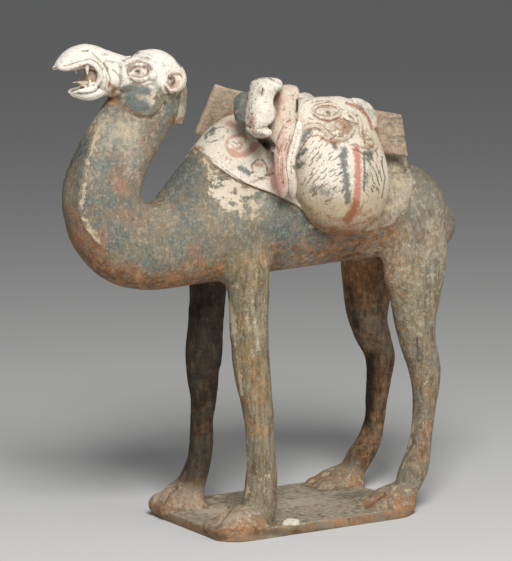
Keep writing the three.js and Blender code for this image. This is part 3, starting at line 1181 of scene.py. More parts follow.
STROKES: tuple[Mark, ...] = (
    # Slate lines on the blanket, the bag, the mask, the bridge, the crown and the cheek.
    *drawn(
        Coat.HAZE,
        (1, 0.95, 205, 141, 206, 134, 213, 129, 222, 127, 228, 129, 227, 134, 220, 139, 211, 142, 205, 141),
        (4, 0.25, 212, 135, 220, 133), (3.2, 0.4, 366, 153, 368, 168, 367, 184), (3, 0.9, 369, 150, 371, 158),
        (3, 1, 311, 131, 306, 134, 303, 140), (6, 0.35, 312, 186, 330, 192, 338, 190),
        (2.2, 0.6, 102, 54, 113, 57, 126, 61), (2, 0.5, 105, 61, 115, 62, 124, 64),
        (1.6, 0.5, 137, 53, 148, 54, 158, 58, 170, 66), (2, 0.6, 138, 58, 149, 59, 160, 64, 172, 73),
        (3, 0.7, 120, 67, 121, 80), (1.2, 0.5, 104, 65, 108, 72, 110, 80, 108, 88),
        (4.6, 1.3, 126, 89, 135, 89, 146, 91), (5.6, 1.3, 131, 99, 137, 105, 145, 107),
        (3.6, 0.6, 155, 82, 160, 90, 165, 98), (3.6, 0.5, 118, 98, 122, 106, 130, 112),
    ),
    # Slate on the ewer, slate painted shade in the hollow beside it, and slate in bands on the near board.
    *drawn(
        Coat.HAZE,
        (1.2, 0.9, 254, 80, 268, 77.5, 280, 84), (3.6, 0.75, 276, 90, 277, 100, 276, 112),
        (1.1, 1, 387, 119, 396, 118, 404, 119), (1.2, 1, 387, 124, 396, 123, 405, 124),
        (1.2, 1, 390, 137, 398, 136, 406, 137), (1.2, 1, 391, 142, 399, 141, 406, 142),
        both=False,
    ),
    # Pink scroll and patches on the blanket, pink inside the ear and in worn places on the neck.
    *drawn(
        Coat.ROSE,
        (4.5, 0.6, 229, 125, 236, 129, 244, 127),
        (2.3, 1.3, 246, 138, 241, 135, 234, 136, 228, 139, 226, 145, 228, 150, 233, 153),
        (3.6, 1.5, 233, 153, 239, 155, 245, 155, 250, 151, 256, 145),
        (1.4, 1, 238, 141, 242, 144, 240, 148, 235, 148, 232, 145), (3.4, 1.3, 256, 164, 262, 165),
        (4, 1.2, 269, 170, 273, 177, 276, 186), (3, 0.2, 177, 76, 179, 82, 176, 88),
        (6, 0.2, 90, 187, 95, 190), (6, 0.1, 120, 182, 125, 188), (6, 0.1, 114, 208, 126, 210),
        (5, 0.35, 140, 140, 148, 146),
    ),
    # Rose painted shade in the hollow beside the ewer, the paler strand of the skein, and the far board.
    *drawn(
        Coat.ROSE,
        (4.2, 0.8, 276, 90, 277, 100, 276, 112),
        (4, -1, 298, 126, 296, 142, 292, 155, 290, 170, 292, 184, 293, 194),
        (1.6, 1, 224, 116, 230, 113, 237, 111),
        both=False,
    ),
    # Brown painted shade in creases, under the lips and the mask's moustache, round the eyes and under the
    # blanket's front lip, and the orange end of the red stripe, which is paint.
    *drawn(
        Coat.TAN,
        (4, 0.35, 222, 157, 232, 158), (3, 0.5, 195, 147, 203, 152), (3.6, 1.1, 355, 203, 353, 211, 347, 219),
        (3.5, 0.3, 305, 207, 312, 210), (3.5, 0.8, 333, 232, 350, 233),
        (0.9, 1, 312, 113, 319, 119, 329, 121, 338, 118), (3.5, 0.5, 341, 122, 347, 125, 345, 130),
        (2.4, 0.9, 322, 138, 330, 142, 338, 143), (1.8, 0.5, 305, 131, 313, 129, 319, 131),
        (1.3, 0.8, 362, 132, 365, 143, 372, 147), (1.6, 0.7, 346, 103, 356, 108, 366, 114),
        (1, 0.9, 148, 70, 149, 78), (2.6, 0.5, 129, 70, 134, 67, 146, 67, 152, 72),
        (0.9, 0.9, 131, 75, 137, 80, 144, 80), (1.5, 0.8, 84, 51, 88, 50.5),
        (1.8, 0.7, 93, 54, 97, 58, 99, 63), (2.4, 1, 110, 84, 115, 88, 113, 92),
        (2.2, 0.6, 106, 96, 112, 101, 118, 102), (1.6, 0.6, 62, 69, 72, 68, 84, 64),
        (1.6, 0.3, 76, 97, 88, 100, 100, 95), (2.2, 1, 170, 122, 177, 122, 183, 118),
        (2.2, 0.5, 118, 104, 128, 112, 140, 117, 152, 117),
    ),
    # Brown on the ewer's edge and ring, on the skein and on the near board.
    *drawn(
        Coat.TAN,
        (1.2, 0.9, 261, 86, 264, 89.5, 261, 94, 258, 90.5, 261, 86), (3, 0.45, 251, 84, 249, 102, 249, 124),
        (3.4, 0.7, 253, 118, 252, 127, 256, 134),
        (4, 0.15, 298, 126, 296, 142, 292, 155, 290, 170, 292, 184, 293, 194),
        (1.6, 0.5, 284, 140, 281, 152, 281, 168, 283, 183), (3, 0.4, 376, 122, 380, 142, 386, 156),
        both=False,
    ),
    # Red stripe on the bag, line over the mask's eye, and the strand on the rolled cloth.
    *drawn(
        Coat.PINK,
        (5, 1, 356.5, 149, 358, 165, 358, 180, 357, 196, 355, 208, 349, 218),
        (0.8, 1, 313, 111, 319, 106, 328, 105, 337, 108),
        (1.8, 1, 346, 103, 354, 105, 362, 110, 368, 118, 372, 130),
    ),
    # Leaf on the blanket, jagged patches and strokes on the bag, the mask's eye and the camel's.
    *drawn(
        Coat.INK,
        (0.9, 1, 233, 142, 236, 144, 240, 143), (0.8, 1, 243, 130, 246, 136, 245, 142),
        (3.8, 1, 240, 168, 244, 170, 249, 173), (4.8, 1, 344, 150, 343.5, 161, 345, 171),
        (5.4, 1, 346, 175, 347, 187), (4.6, 1, 347.5, 191, 347.5, 202), (1.8, 1, 345, 153, 339, 156),
        (1.8, 1, 345, 162, 338, 165), (1.8, 1, 346, 170, 339, 174), (1.8, 1, 346, 179, 340, 182),
        (1.8, 1, 347, 188, 341, 191), (1.8, 1, 364, 152, 364.5, 170, 364, 190),
        (3, 1, 297, 157, 302, 153, 306, 149), (3.8, 1, 295, 167, 299, 166, 302, 163),
        (3.2, 1, 333, 143, 336, 147), (2, 1, 326.5, 112, 329, 112), (1, 1, 344, 119, 350, 122, 357, 124),
        (0.8, 1, 348, 116, 354, 119), (1.3, 1, 355.5, 114.5, 357, 115.5), (2.3, 1, 137, 71.5, 139, 71.5),
    ),
    # Almond and seam on the blanket, lines on the bag, corners of the eye, ear and belly seam.
    *drawn(
        Coat.UMBER,
        (1.5, 1, 253, 173, 252, 165, 256, 160, 263, 160, 267, 167, 267, 176),
        (1.1, 1, 255, 176, 260, 178, 265, 179),
        (0.8, 1, 193, 146, 202, 153, 214, 160, 227, 171, 245, 183, 258, 189, 271, 193),
        (1.1, 1, 381, 160, 385, 178, 382, 198), (2.2, 1, 314, 190, 316, 194), (1.8, 1, 326, 201, 332, 199),
        (2.4, 1, 137, 71, 139, 71), (3.2, 1, 128, 71, 131, 68, 134, 66.5), (3.4, 1, 144, 66.5, 151, 68),
        (2.6, 1, 171, 79, 173, 82, 172, 85), (1.2, 1, 341, 258, 348, 256.5, 357, 254),
    ),
    # Twist of the skein.
    *drawn(
        Coat.UMBER,
        (0.8, 1, 284, 138, 279, 152, 277.5, 166, 279, 182),
        (0.8, 1, 287, 142, 283, 155, 282.5, 170, 284, 188), (0.8, 1, 298, 132, 294, 147, 291, 160, 291, 176),
        both=False,
    ),
    # Slate dabs on the neck, and the band under the hem of the blanket.
    *drawn(
        Coat.BLUE,
        (4, 1.3, 112, 127, 110, 136), (5, 1.5, 109, 145, 106, 158), (4, 1.3, 116, 150, 114, 160),
        (4, 1.3, 134, 146, 142, 148), (4, 1.2, 95, 164, 104, 168), (4, 1.1, 130, 164, 136, 160),
        (4, 1.3, 98, 172, 100, 186), (5, 1.4, 107, 194, 112, 203), (3, 1.2, 84, 200, 90, 202),
        (4, 1.2, 124, 200, 128, 206), (5, 1.3, 113, 228, 118, 238),
        (5.5, 0.7, 232, 184, 258, 197, 282, 207, 306, 218, 326, 232),
    ),
    # Ridge of the neck, worn to cream.
    *drawn(
        Coat.SLIP,
        (3.6, 0.55, 98, 128, 91, 150, 85, 178, 82, 205, 86, 224, 98, 240),
    ),
    # Flakes along the front edges of the legs, and the chip on the slab.
    *drawn(
        Coat.SLIP,
        (1.7, 0.6, 230, 300, 234, 330, 238, 360, 242, 395), (1.8, 0.5, 246, 440, 248, 470, 247, 498),
        (1.5, 0.5, 413, 424, 409, 446, 403, 466), (2.6, 2, 286, 523, 290, 521, 296, 522),
        both=False,
    ),
    # White of the same chip.
    *drawn(
        Coat.WHITE,
        (4, 1.2, 286, 523, 290, 521, 296, 522),
        both=False,
    ),
    # Darker strip in front of the neck's ridge.
    *drawn(
        Coat.DUST,
        (5, -0.4, 96, 128, 84, 150, 77, 176, 73, 203, 75, 226, 84, 243),
    ),
    # Pale runs on the near fore leg.
    *drawn(
        Coat.DUST,
        (0.9, 0.7, 252, 300, 256, 330, 259, 350), (0.8, 0.6, 246, 302, 249, 330, 253, 356),
        both=False,
    ),
    # The same dark strip.
    *drawn(
        Coat.SOOT,
        (5, 0.22, 96, 128, 84, 150, 77, 176, 73, 203, 75, 226, 84, 243),
    ),
    # Dark runs on the hind legs, and painted shadow in the gap beside the tablet.
    *drawn(
        Coat.SOOT,
        (1.2, 1.2, 297, 100, 297, 110), (1.8, 0.7, 417, 338, 418, 360), (1, 0.4, 402, 300, 404, 330),
        (1.4, 0.4, 392, 288, 394, 325), (5, 0.25, 349, 288, 356, 325), (5, 0.5, 370, 360, 368, 400, 366, 420),
        both=False,
    ),
    # Dark specks on the goods.
    *drawn(Coat.SOOT, *((1.1, 1, *spot, *spot) for spot in SPECKS), both=False),
)


@dataclass(frozen=True)
class Hair:
    """Fine brushed hair on the bag: it sweeps down and away from the stripe on both sides.

    Rows and columns are in pixels of the photograph.
    """

    rows: int = 13
    first_row: float = 137.0
    row_step: float = 4.6
    left: tuple[int, int, int] = (303, 340, 6)
    right: tuple[int, int, int] = (367, 383, 5)
    under_lip: float = 152.0
    gaps: float = -0.5
    sag_left: float = 0.9
    sag_right: float = -0.5
    depth: float = 0.28
    # Slope in degrees beside the stripe and its change for each column, on either side of it.
    slope_left: Place = (28, 0.8)
    slope_right: Place = (50, 2.4)
    stray: float = 2.0
    # Middle and swing of half the length, and of the thickness.
    length: Place = (2.9, 1.4)
    thickness: Place = (0.75, 0.3)

    def angle(self, u: float) -> float:
        """Slope of the hair in one column.

        Args:
            u: pixels across.

        Returns:
            The slope in radians.
        """
        if u < self.left[1]:
            return math.radians(self.slope_left[0] + (self.left[1] - u) * self.slope_left[1])
        return math.radians(self.slope_right[0] + (u - self.right[0]) * self.slope_right[1])

    def marks(self) -> tuple[Mark, ...]:
        """Draws the hair.

        Returns:
            One mark for each stroke.
        """
        draw = np.random.default_rng(SEED)
        marks = []
        first, last, gap = self.left
        for row in range(self.rows):
            for u in (*range(first + row % 2 * gap // 2, last, gap), *range(*self.right)):
                du, dv, size, thick, chance = draw.uniform(-1, 1, 5)
                v = self.first_row + row * self.row_step + self.stray * dv
                if chance < self.gaps or (u > last and v < self.under_lip):
                    continue
                side, sag = (-1, self.sag_left) if u < last else (1, self.sag_right)
                angle = self.angle(u)
                run = np.array([side * math.cos(angle), math.sin(angle)])
                run *= self.length[0] + self.length[1] * size
                middle = np.array([u + self.stray * du, v])
                line = (middle - run, middle + np.array([0.0, sag]), middle + run)
                width = self.thickness[0] + self.thickness[1] * thick
                coat = Coat.UMBER if (row + u) % 2 else Coat.INK
                marks.append(Mark(tuple(map(tuple, line)), width, self.depth, coat))
        return tuple(marks)


HAIR = Hair().marks()


def cloud(coat: Coat, *spots: tuple[float, float, float, float, float]) -> tuple[Wash, ...]:
    """Lays out clouds of one coat.

    Args:
        coat: the coat.
        spots: middle, reach and strength of each.

    Returns:
        The clouds.
    """
    return tuple(Wash(coat, *spot) for spot in spots)


WASHES: tuple[Wash, ...] = (
    *cloud(
        Coat.BLUE,
        (118, 112, 12, 10, 0.3), (172, 106, 8, 14, 0.4), (106, 150, 10, 12, 0.5), (132, 147, 10, 7, 0.5),
        (98, 195, 12, 14, 0.35), (80, 160, 8, 50, 0.2), (112, 232, 12, 16, 0.3), (182, 182, 12, 26, 0.45),
        (185, 232, 10, 26, 0.45), (150, 262, 16, 10, 0.4), (252, 197, 24, 6, 0.7), (285, 212, 20, 8, 0.6),
        (282, 238, 12, 20, 0.5), (325, 232, 30, 8, 0.3), (225, 285, 20, 16, 0.2), (400, 180, 16, 10, 0.15),
        (375, 380, 10, 40, 0.3), (424, 400, 6, 40, 0.25),
    ),
    *cloud(
        Coat.SLIP,
        (140, 98, 16, 14, -0.5), (160, 94, 8, 16, -0.6), (120, 102, 12, 9, -0.75), (172, 90, 8, 12, -0.1),
        (120, 128, 22, 12, 0.3), (97, 155, 5, 30, 0.15), (88, 228, 12, 14, 0.15), (226, 195, 22, 17, 0.85),
        (214, 186, 10, 9, 0.2), (248, 190, 14, 6, 0.35), (254, 208, 10, 14, 0.5), (233, 212, 14, 7, 0.2),
        (207, 168, 9, 9, 0.35), (413, 184, 12, 9, 0.4), (234, 330, 5, 44, 0.3), (240, 395, 4, 20, 0.35),
        (258, 480, 10, 16, 0.2), (228, 518, 12, 9, 0.35), (246, 505, 8, 12, 0.2), (268, 455, 4, 40, 0.25),
        (426, 384, 4, 5, 0.7), (410, 440, 4, 24, 0.3), (400, 492, 14, 6, 0.25), (291, 522, 7, 3, 0.8),
    ),
    *cloud(
        Coat.HAZE,
        (322, 194, 20, 9, 0.45), (372, 185, 8, 30, 0.3), (316, 150, 18, 16, 0.2), (302, 172, 8, 20, 0.25),
        (357, 108, 12, 8, 0.2), (112, 62, 10, 6, 0.1), (148, 94, 22, 15, 0.35), (120, 98, 8, 10, 0.3),
    ),
    # Brown clouds: painted shade under the mask's moustache and round its nose, in the corners of the mouth,
    # under the blanket's lip and in the hollows of the skein; brown on the bag and the ewer.
    *cloud(
        Coat.TAN,
        (310, 190, 30, 30, 0.08), (330, 215, 44, 14, 0.14), (378, 150, 10, 30, 0.15),
        (318, 136, 24, 10, 0.15), (345, 128, 22, 16, 0.15), (255, 120, 10, 16, 0.15), (100, 84, 8, 10, 0.15),
        (285, 150, 12, 40, 0.15), (200, 148, 10, 5, 0.1), (230, 158, 20, 6, 0.15), (112, 92, 10, 8, 0.2),
    ),
    *cloud(
        Coat.WHITE,
        (226, 195, 24, 20, 0.45), (140, 98, 20, 14, -0.9), (116, 96, 10, 12, -0.6), (102, 80, 7, 10, -0.25),
        (375, 180, 12, 50, -0.5), (300, 175, 14, 30, -0.3), (330, 205, 40, 14, -0.4),
        (350, 128, 22, 18, -0.2),
    ),
    *cloud(
        Coat.DUST,
        # The cloud at 375, 262 is painted light, paling the inner side of the far hind thigh where it sits in
        # shade.
        (120, 130, 30, 16, 0.45), (300, 262, 36, 10, 0.5), (375, 262, 16, 26, 0.6), (262, 205, 16, 12, 0.4),
        (180, 112, 6, 16, 0.4), (100, 160, 14, 40, 0.2), (132, 155, 14, 26, 0.4), (230, 215, 30, 24, 0.3),
        (440, 235, 16, 40, 0.35), (160, 215, 20, 20, 0.15), (228, 516, 18, 10, 0.4), (415, 200, 24, 20, 0.3),
        (245, 300, 16, 60, 0.1), (410, 290, 26, 40, 0.2), (300, 500, 60, 16, 0.2),
    ),
    *cloud(
        Coat.ROSE,
        (118, 165, 14, 20, 0.35), (122, 188, 8, 8, 0.5), (94, 190, 8, 8, 0.4), (128, 212, 12, 14, 0.35),
        (100, 236, 16, 14, 0.4), (80, 232, 8, 20, 0.4), (196, 250, 8, 16, 0.35), (215, 236, 8, 8, 0.3),
        (222, 515, 16, 12, 0.3), (170, 490, 16, 10, 0.2), (228, 124, 12, 6, 0.5), (245, 146, 8, 5, 0.4),
        (275, 180, 8, 14, 0.5), (350, 530, 60, 5, 0.3),
    ),
    *cloud(
        Coat.RUST,
        (175, 121, 9, 5, 0.8), (112, 87, 8, 5, 0.7), (111, 100, 9, 7, 0.8), (97, 58, 5, 6, 0.35),
        (133, 69, 5, 4, 0.5), (148, 70, 4, 4, 0.5), (84, 51, 4, 2, 0.4), (172, 80, 4, 5, 0.6),
        (90, 99, 12, 3, 0.4), (82, 68, 18, 3, 0.5), (76, 220, 8, 30, 0.3), (92, 250, 14, 14, 0.5),
        (120, 276, 30, 9, 0.6), (185, 284, 30, 8, 0.6), (190, 258, 10, 18, 0.4), (212, 278, 12, 8, 0.5),
        # The strong cloud at 372, 262 is orange bare clay on the inner side of the far hind thigh, made
        # brighter as painted light where it sits in shade.
        (305, 262, 46, 7, 0.75), (290, 246, 14, 10, 0.3), (372, 262, 22, 40, 1.1), (362, 300, 20, 20, 0.6),
        (425, 420, 20, 60, 0.3), (250, 400, 14, 60, 0.25), (330, 232, 26, 6, 0.5), (345, 232, 20, 6, 0.6),
        (390, 500, 26, 8, 0.4), (340, 470, 30, 12, 0.5), (175, 505, 24, 10, 0.35), (240, 528, 34, 5, 0.4),
        (352, 212, 8, 8, 0.4),
    ),
    *cloud(
        Coat.OLIVE,
        (185, 262, 40, 20, 0.35), (230, 262, 30, 24, 0.3), (165, 275, 40, 14, 0.3), (248, 350, 24, 90, 0.25),
        (410, 300, 34, 50, 0.25), (345, 215, 40, 16, 0.3),
    ),
    # Dark clouds, most of them painted shade: on the far legs and feet and the slab beside them, below the
    # bag,
    # below the near board, in the hollow under the goods, inside the mouth and as a painted shadow along the
    # foot
    # of the slab. The cloud taken away at 372, 262 is painted light on the shaded inner side of the far hind
    # thigh.
    *cloud(
        Coat.SOOT,
        (345, 250, 20, 5, 0.15), (340, 240, 40, 5, 0.1), (203, 320, 16, 40, 0.7), (208, 400, 8, 70, 0.6),
        (196, 450, 14, 40, 0.35), (356, 310, 12, 30, 0.35), (372, 388, 14, 44, 0.95),
        (345, 455, 20, 24, 0.45), (372, 262, 20, 30, -0.8), (415, 400, 30, 50, 0.12),
        (250, 370, 24, 70, 0.09), (76, 175, 7, 60, 0.14), (110, 272, 40, 8, 0.2), (268, 145, 8, 7, 0.9),
        (87, 74, 8, 9, 0.1), (395, 160, 10, 5, 0.5), (335, 478, 34, 14, 1.2), (165, 500, 20, 14, 0.4),
        (300, 532, 110, 6, 0.55),
    ),
)


def along(places: np.ndarray, line: Sequence[Place]) -> np.ndarray:
    """Measures how far places are from a line of straight stretches.

    Args:
        places: one row of pixels for each.
        line: pixels of the line's corners.

    Returns:
        The distances in pixels.
    """
    nearest = np.full(len(places), np.inf)
    for first, last in zip(line, line[1:]):
        start, run = np.array(first, float), np.array(last, float) - np.array(first, float)
        share = np.clip((places - start) @ run / max(run @ run, 1e-9), 0, 1)
        nearest = np.minimum(nearest, np.linalg.norm(places - start - share[:, None] * run, axis=1))
    return nearest


@dataclass(frozen=True)
class Join:
    """Where two parts flow into each other: the reach of the curve between them, and its heights."""

    first: Part
    second: Part
    reach: float
    low: float
    high: float


JOINS: tuple[Join, ...] = (
    Join(Part.TRUNK, Part.NECK, 26, 235, 360), Join(Part.NECK, Part.HEAD, 7, 400, 440),
    Join(Part.TRUNK, Part.FORE_LEFT, 26, 225, 330), Join(Part.TRUNK, Part.FORE_RIGHT, 26, 225, 330),
    Join(Part.NECK, Part.FORE_LEFT, 26, 225, 330), Join(Part.NECK, Part.FORE_RIGHT, 26, 225, 330),
    Join(Part.TRUNK, Part.HIND_LEFT, 30, 220, 350), Join(Part.TRUNK, Part.HIND_RIGHT, 30, 220, 350),
    Join(Part.FORE_LEFT, Part.FOOT, 14, 6, 50), Join(Part.FORE_RIGHT, Part.FOOT, 14, 6, 50),
    Join(Part.HIND_LEFT, Part.FOOT, 14, 6, 50), Join(Part.HIND_RIGHT, Part.FOOT, 14, 6, 50),
    Join(Part.FOOT, Part.SLAB, 4, 6, 16),
)


class Skin:
    """The figure's mesh as arrays in millimetres, for cutting, rubbing and painting."""

    fade = 1.3
    pull = 0.7
    rub = 0.42
    least_rubs = 4
    mark_margin = 3
    least_facing = 0.12
    clearance = 1.2
    # Distance between the lumps that hands and weather leave, and how high they are.
    unevenness = ((30.0, 0.55), (13.0, 0.45), (5.0, 0.22), (2.6, 0.08))

    def __init__(self, data: bpy.types.Mesh, clay: Clay) -> None:
        """Reads the mesh.

        Args:
            data: the mesh, in millimetres.
            clay: what it was skinned from.
        """
        self.data = data
        self.sight = clay.sight
        count = len(data.vertices)
        self.points = np.empty(count * 3)
        data.vertices.foreach_get("co", self.points)
        self.points = self.points.reshape(-1, 3)
        self.read_normals()
        data.calc_loop_triangles()
        triangles = np.empty(len(data.loop_triangles) * 3, int)
        data.loop_triangles.foreach_get("vertices", triangles)
        self.tree = BVHTree.FromPolygons(self.points.tolist(), triangles.reshape(-1, 3).tolist())
        self.edges = np.empty(len(data.edges) * 2, int)
        data.edges.foreach_get("vertices", self.edges)
        self.edges = self.edges.reshape(-1, 2)

    def read_normals(self) -> None:
        """Reads the way that each point faces."""
        self.normals = np.empty(len(self.data.vertices) * 3, np.float32)
        self.data.vertex_normals.foreach_get("vector", self.normals)
        self.normals = self.normals.reshape(-1, 3).astype(float)

    def spread(self, values: np.ndarray, times: int) -> np.ndarray:
        """Averages values with those of the neighbouring points.

        Args:
            values: one for each point.
            times: how often.

        Returns:
            The averaged values.
        """
        a, b = self.edges.T
        count = np.bincount(self.edges.ravel(), minlength=len(self.points)).astype(float)
        for _ in range(times):
            total = np.bincount(a, values[b], len(self.points)) + np.bincount(b, values[a], len(self.points))
            values = 0.5 * values + 0.5 * total / np.maximum(count, 1)
        return values

    def blend(self, join: Join, clay: Clay) -> None:
        """Rubs the corner between two parts into a smooth curve.

        Args:
            join: where they meet.
            clay: the forms that the parts are made of.
        """
        trees = [clay.tree_of(part) for part in (join.first, join.second)]
        z = self.points[:, 2]
        near = np.flatnonzero((z > join.low) & (z < join.high))
        for tree in trees:
            apart = [tree.find_nearest(Vector(p), join.reach)[3] or np.inf for p in self.points[near]]
            near = near[np.array(apart, float) < join.reach]
        far = np.zeros(len(near))
        for tree in trees:
            far += [tree.find_nearest(Vector(p))[3] for p in self.points[near]]
        weight = np.zeros(len(self.points))
        weight[near] = np.clip(self.fade - self.fade * far / join.reach, 0, 1)
        edges = self.edges[(weight[self.edges] > 0).any(axis=1)]
        used, edges = np.unique(edges, return_inverse=True)
        a, b = edges.reshape(-1, 2).T
        count = np.bincount(edges.ravel(), minlength=len(used)).astype(float)
        points, share = self.points[used].copy(), weight[used][:, None] * self.pull
        for _ in range(int((join.reach * self.rub / VOXEL) ** 2) + self.least_rubs):
            total = np.stack([
                np.bincount(a, points[b, k], len(used)) + np.bincount(b, points[a, k], len(used))
                for k in range(3)
            ], axis=1)
            points += share * (total / count[:, None] - points)
        self.points[used] = points

    def near_mark(self, mark: Mark, side: int) -> tuple[np.ndarray, np.ndarray]:
        """Finds the points that a mark reaches on one side.

        Args:
            mark: the mark.
            side: 1 for the side that the photograph shows, -1 for the other.

        Returns:
            The numbers of the points, and their distances from the line in pixels.
        """
        flip = np.array([1.0, side, 1.0])
        line = np.array(mark.places)
        reach = (mark.width + 1) * self.mark_margin
        low, high = line.min(0) - reach, line.max(0) + reach
        inside = np.flatnonzero(np.all((self.seen[side] > low) & (self.seen[side] < high), axis=1))
        eye = self.sight.eye() * flip
        view = eye - self.points[inside]
        view /= np.linalg.norm(view, axis=1)[:, None]
        inside = inside[np.einsum("ij,ij->i", view, self.normals[inside]) > self.least_facing]
        far = along(self.seen[side][inside], mark.places)
        inside, far = inside[far < reach], far[far < reach]
        start = self.points[inside] + self.normals[inside] * self.clearance
        clear = [
            self.tree.ray_cast(Vector(p), (Vector(eye) - Vector(p)).normalized())[0] is None for p in start
        ]
        clear = np.array(clear, bool)
        return inside[clear], far[clear]

    def look(self) -> None:
        """Works out where each point is seen, from the photograph's side and from its mirror image."""
        self.seen = {side: self.sight.places(self.points * np.array([1.0, side, 1.0])) for side in (1, -1)}

    def carve(self, marks: Iterable[Mark]) -> None:
        """Cuts the marks into the skin.

        Args:
            marks: the marks, each with its depth.
        """
        self.look()
        push = np.zeros(len(self.points))
        for mark in marks:
            for side in (1, -1) if mark.both else (1,):
                found, far = self.near_mark(mark, side)
                push[found] = np.minimum(push[found], -mark.depth * np.exp(-((far / mark.width) ** 2)))
        self.points += self.normals * push[:, None]

    def handle(self) -> None:
        """Leaves the uneven surface of hand-pressed and weathered clay."""
        swell = sum(
            lumps(self.points, size, seed) * high for seed, (size, high) in enumerate(self.unevenness, 1)
        )
        self.points += self.normals * swell[:, None]
        self.points[:, 2] = np.maximum(self.points[:, 2], 0.0)

    def write(self) -> None:
        """Puts the points back into the mesh."""
        self.data.vertices.foreach_set("co", self.points.ravel())
        self.data.update()


# Painting

@dataclass(frozen=True)
class Ground:
    """First coats of a part, before washes and strokes."""

    slip: float = 0.0
    blue: float = 0.0
    rust: float = 0.0
    soot: float = 0.0
    rose: float = 0.0
    olive: float = 0.0
    dust: float = 0.0
    streak: float = 0.0
    white: float = 0.0
    haze: float = 0.0
    tan: float = 0.0
    even: float = 0.0


GROUNDS: dict[Part, Ground] = {
    Part.TRUNK: Ground(slip=0.02, blue=0.5, rust=0.15, olive=0.15, rose=0.15, dust=0.35, streak=0.25),
    Part.NECK: Ground(slip=0.08, blue=0.42, rust=0.1, rose=0.25, dust=0.45, streak=0.25),
    Part.HEAD: Ground(slip=1.3, dust=0.6, white=1.0, rose=0.05),
    Part.MOUTH: Ground(slip=0.85, rust=0.5, rose=0.6, white=0.45, tan=0.55),
    Part.EYE: Ground(slip=1.1, dust=0.5, white=0.7, tan=0.2),
    Part.EAR: Ground(slip=1.1, rose=0.75, dust=0.6, white=0.8),
    Part.NAPE: Ground(slip=0.25, blue=0.6, dust=0.6, rose=0.1),
    Part.BLANKET: Ground(slip=1.12, rust=0.2, dust=0.8, white=0.6, rose=0.1),
    Part.BAG: Ground(slip=1.1, rust=0.25, dust=0.8, white=0.7, streak=0.1),
    Part.MASK: Ground(slip=1.2, rust=0.3, dust=0.8, white=0.55, tan=0.32),
    Part.ROLL: Ground(slip=1.0, rust=0.3, dust=0.6, white=0.7, rose=0.1, haze=0.45),
    Part.SKEIN: Ground(slip=0.95, rust=0.5, rose=1.0, dust=0.9, white=0.95, tan=0.16),
    Part.EWER: Ground(slip=1.15, rust=0.25, dust=0.8, white=0.8),
    Part.CLOTH: Ground(slip=0.1, blue=1.1, dust=0.5, white=0.3),
    Part.TABLET: Ground(slip=0.95, rust=0.3, dust=0.7, white=0.5, rose=0.75, tan=0.12),
    Part.BOARD: Ground(slip=0.3, rust=0.3, rose=0.7, dust=0.8, tan=0.15),
    Part.FAR_BOARD: Ground(slip=0.55, rust=0.4, rose=0.7, dust=1.1, white=0.2, tan=0.15),
    Part.FORE_LEFT: Ground(slip=0.05, rust=0.25, blue=0.25, olive=0.5, dust=0.35, rose=0.05, streak=0.9),
    # The soot amount on the far fore leg is painted shade: the far side stands in shade.
    Part.FORE_RIGHT: Ground(slip=-0.2, rust=0.45, blue=0.1, soot=0.74, dust=0.0, streak=0.9),
    Part.HIND_LEFT: Ground(slip=0.02, rust=0.25, blue=0.25, olive=0.3, dust=0.45, rose=0.1, streak=0.85),
    # The soot amount on the far hind leg is painted shade, as on the far fore leg.
    Part.HIND_RIGHT: Ground(slip=-0.2, rust=0.62, soot=0.46, dust=0.1, streak=0.9),
    Part.FOOT: Ground(slip=0.25, rust=0.3, rose=0.5, dust=0.55, streak=0.2),
    Part.SLAB: Ground(slip=-0.1, rust=0.1, rose=0.1, dust=0.7, even=-0.16),
    Part.TOOTH: Ground(slip=1.4, white=1.0),
}


LOAD = (Part.BAG, Part.MASK, Part.ROLL, Part.BLANKET, Part.SKEIN, Part.EWER, Part.TABLET, Part.CLOTH)
BARREL = (Part.TRUNK, Part.NECK)
BODY = (*BARREL, Part.FORE_LEFT, Part.FORE_RIGHT, Part.HIND_LEFT, Part.HIND_RIGHT, Part.FOOT)


def ramp(values: np.ndarray, start: float, run: float) -> np.ndarray:
    """Rises from 0 to 1.

    Args:
        values: what it depends on.
        start: where the rise begins.
        run: how far it takes, minus where it rises downwards.

    Returns:
        One number for each value.
    """
    return np.clip((values - start) / run, 0, 1)


@dataclass(frozen=True)
class Wear:
    """What time did to some parts, by where a point is and how far up it faces: coats and amounts."""

    parts: tuple[Part, ...]
    share: Callable[[np.ndarray, np.ndarray], np.ndarray]
    coats: tuple[tuple[Coat, float], ...]


WEARS = (
    # Bare orange clay under the body.
    Wear(BARREL, lambda place, up: np.clip(-up, 0, 1), ((Coat.RUST, 0.9), (Coat.SLIP, -0.3))),
    # Lower part of the bags, dirtier towards the bottom, and browner still at its end.
    Wear(
        (Part.BAG,), lambda place, up: ramp(place[2], 352, -40),
        ((Coat.SLIP, -0.5), (Coat.WHITE, -0.6), (Coat.TAN, 0.2), (Coat.RUST, 0.5)),
    ),
    Wear((Part.BAG,), lambda place, up: ramp(place[2], 318, -20), ((Coat.TAN, 0.5),)),
    # Rear of the blanket, worn down to the clay.
    Wear(
        (Part.BLANKET,), lambda place, up: ramp(place[0], 58, 12),
        ((Coat.SLIP, -0.7), (Coat.WHITE, -0.6), (Coat.TAN, 0.1)),
    ),
    # Roof of the mouth, rim of the slab, and sides of the feet.
    Wear(
        (Part.HEAD,), lambda place, up: (place[0] < -200) & (place[2] > 452) & (up < -0.35),
        ((Coat.TAN, 0.6),),
    ),
    Wear((Part.SLAB,), lambda place, up: up < 0.7, ((Coat.DUST, -0.6), (Coat.RUST, 0.4), (Coat.TAN, 0.35))),
    Wear(
        (Part.FOOT,), lambda place, up: ramp(place[2], 24, -12) * np.clip(1 - up, 0, 1), ((Coat.RUST, 0.5),),
    ),
)


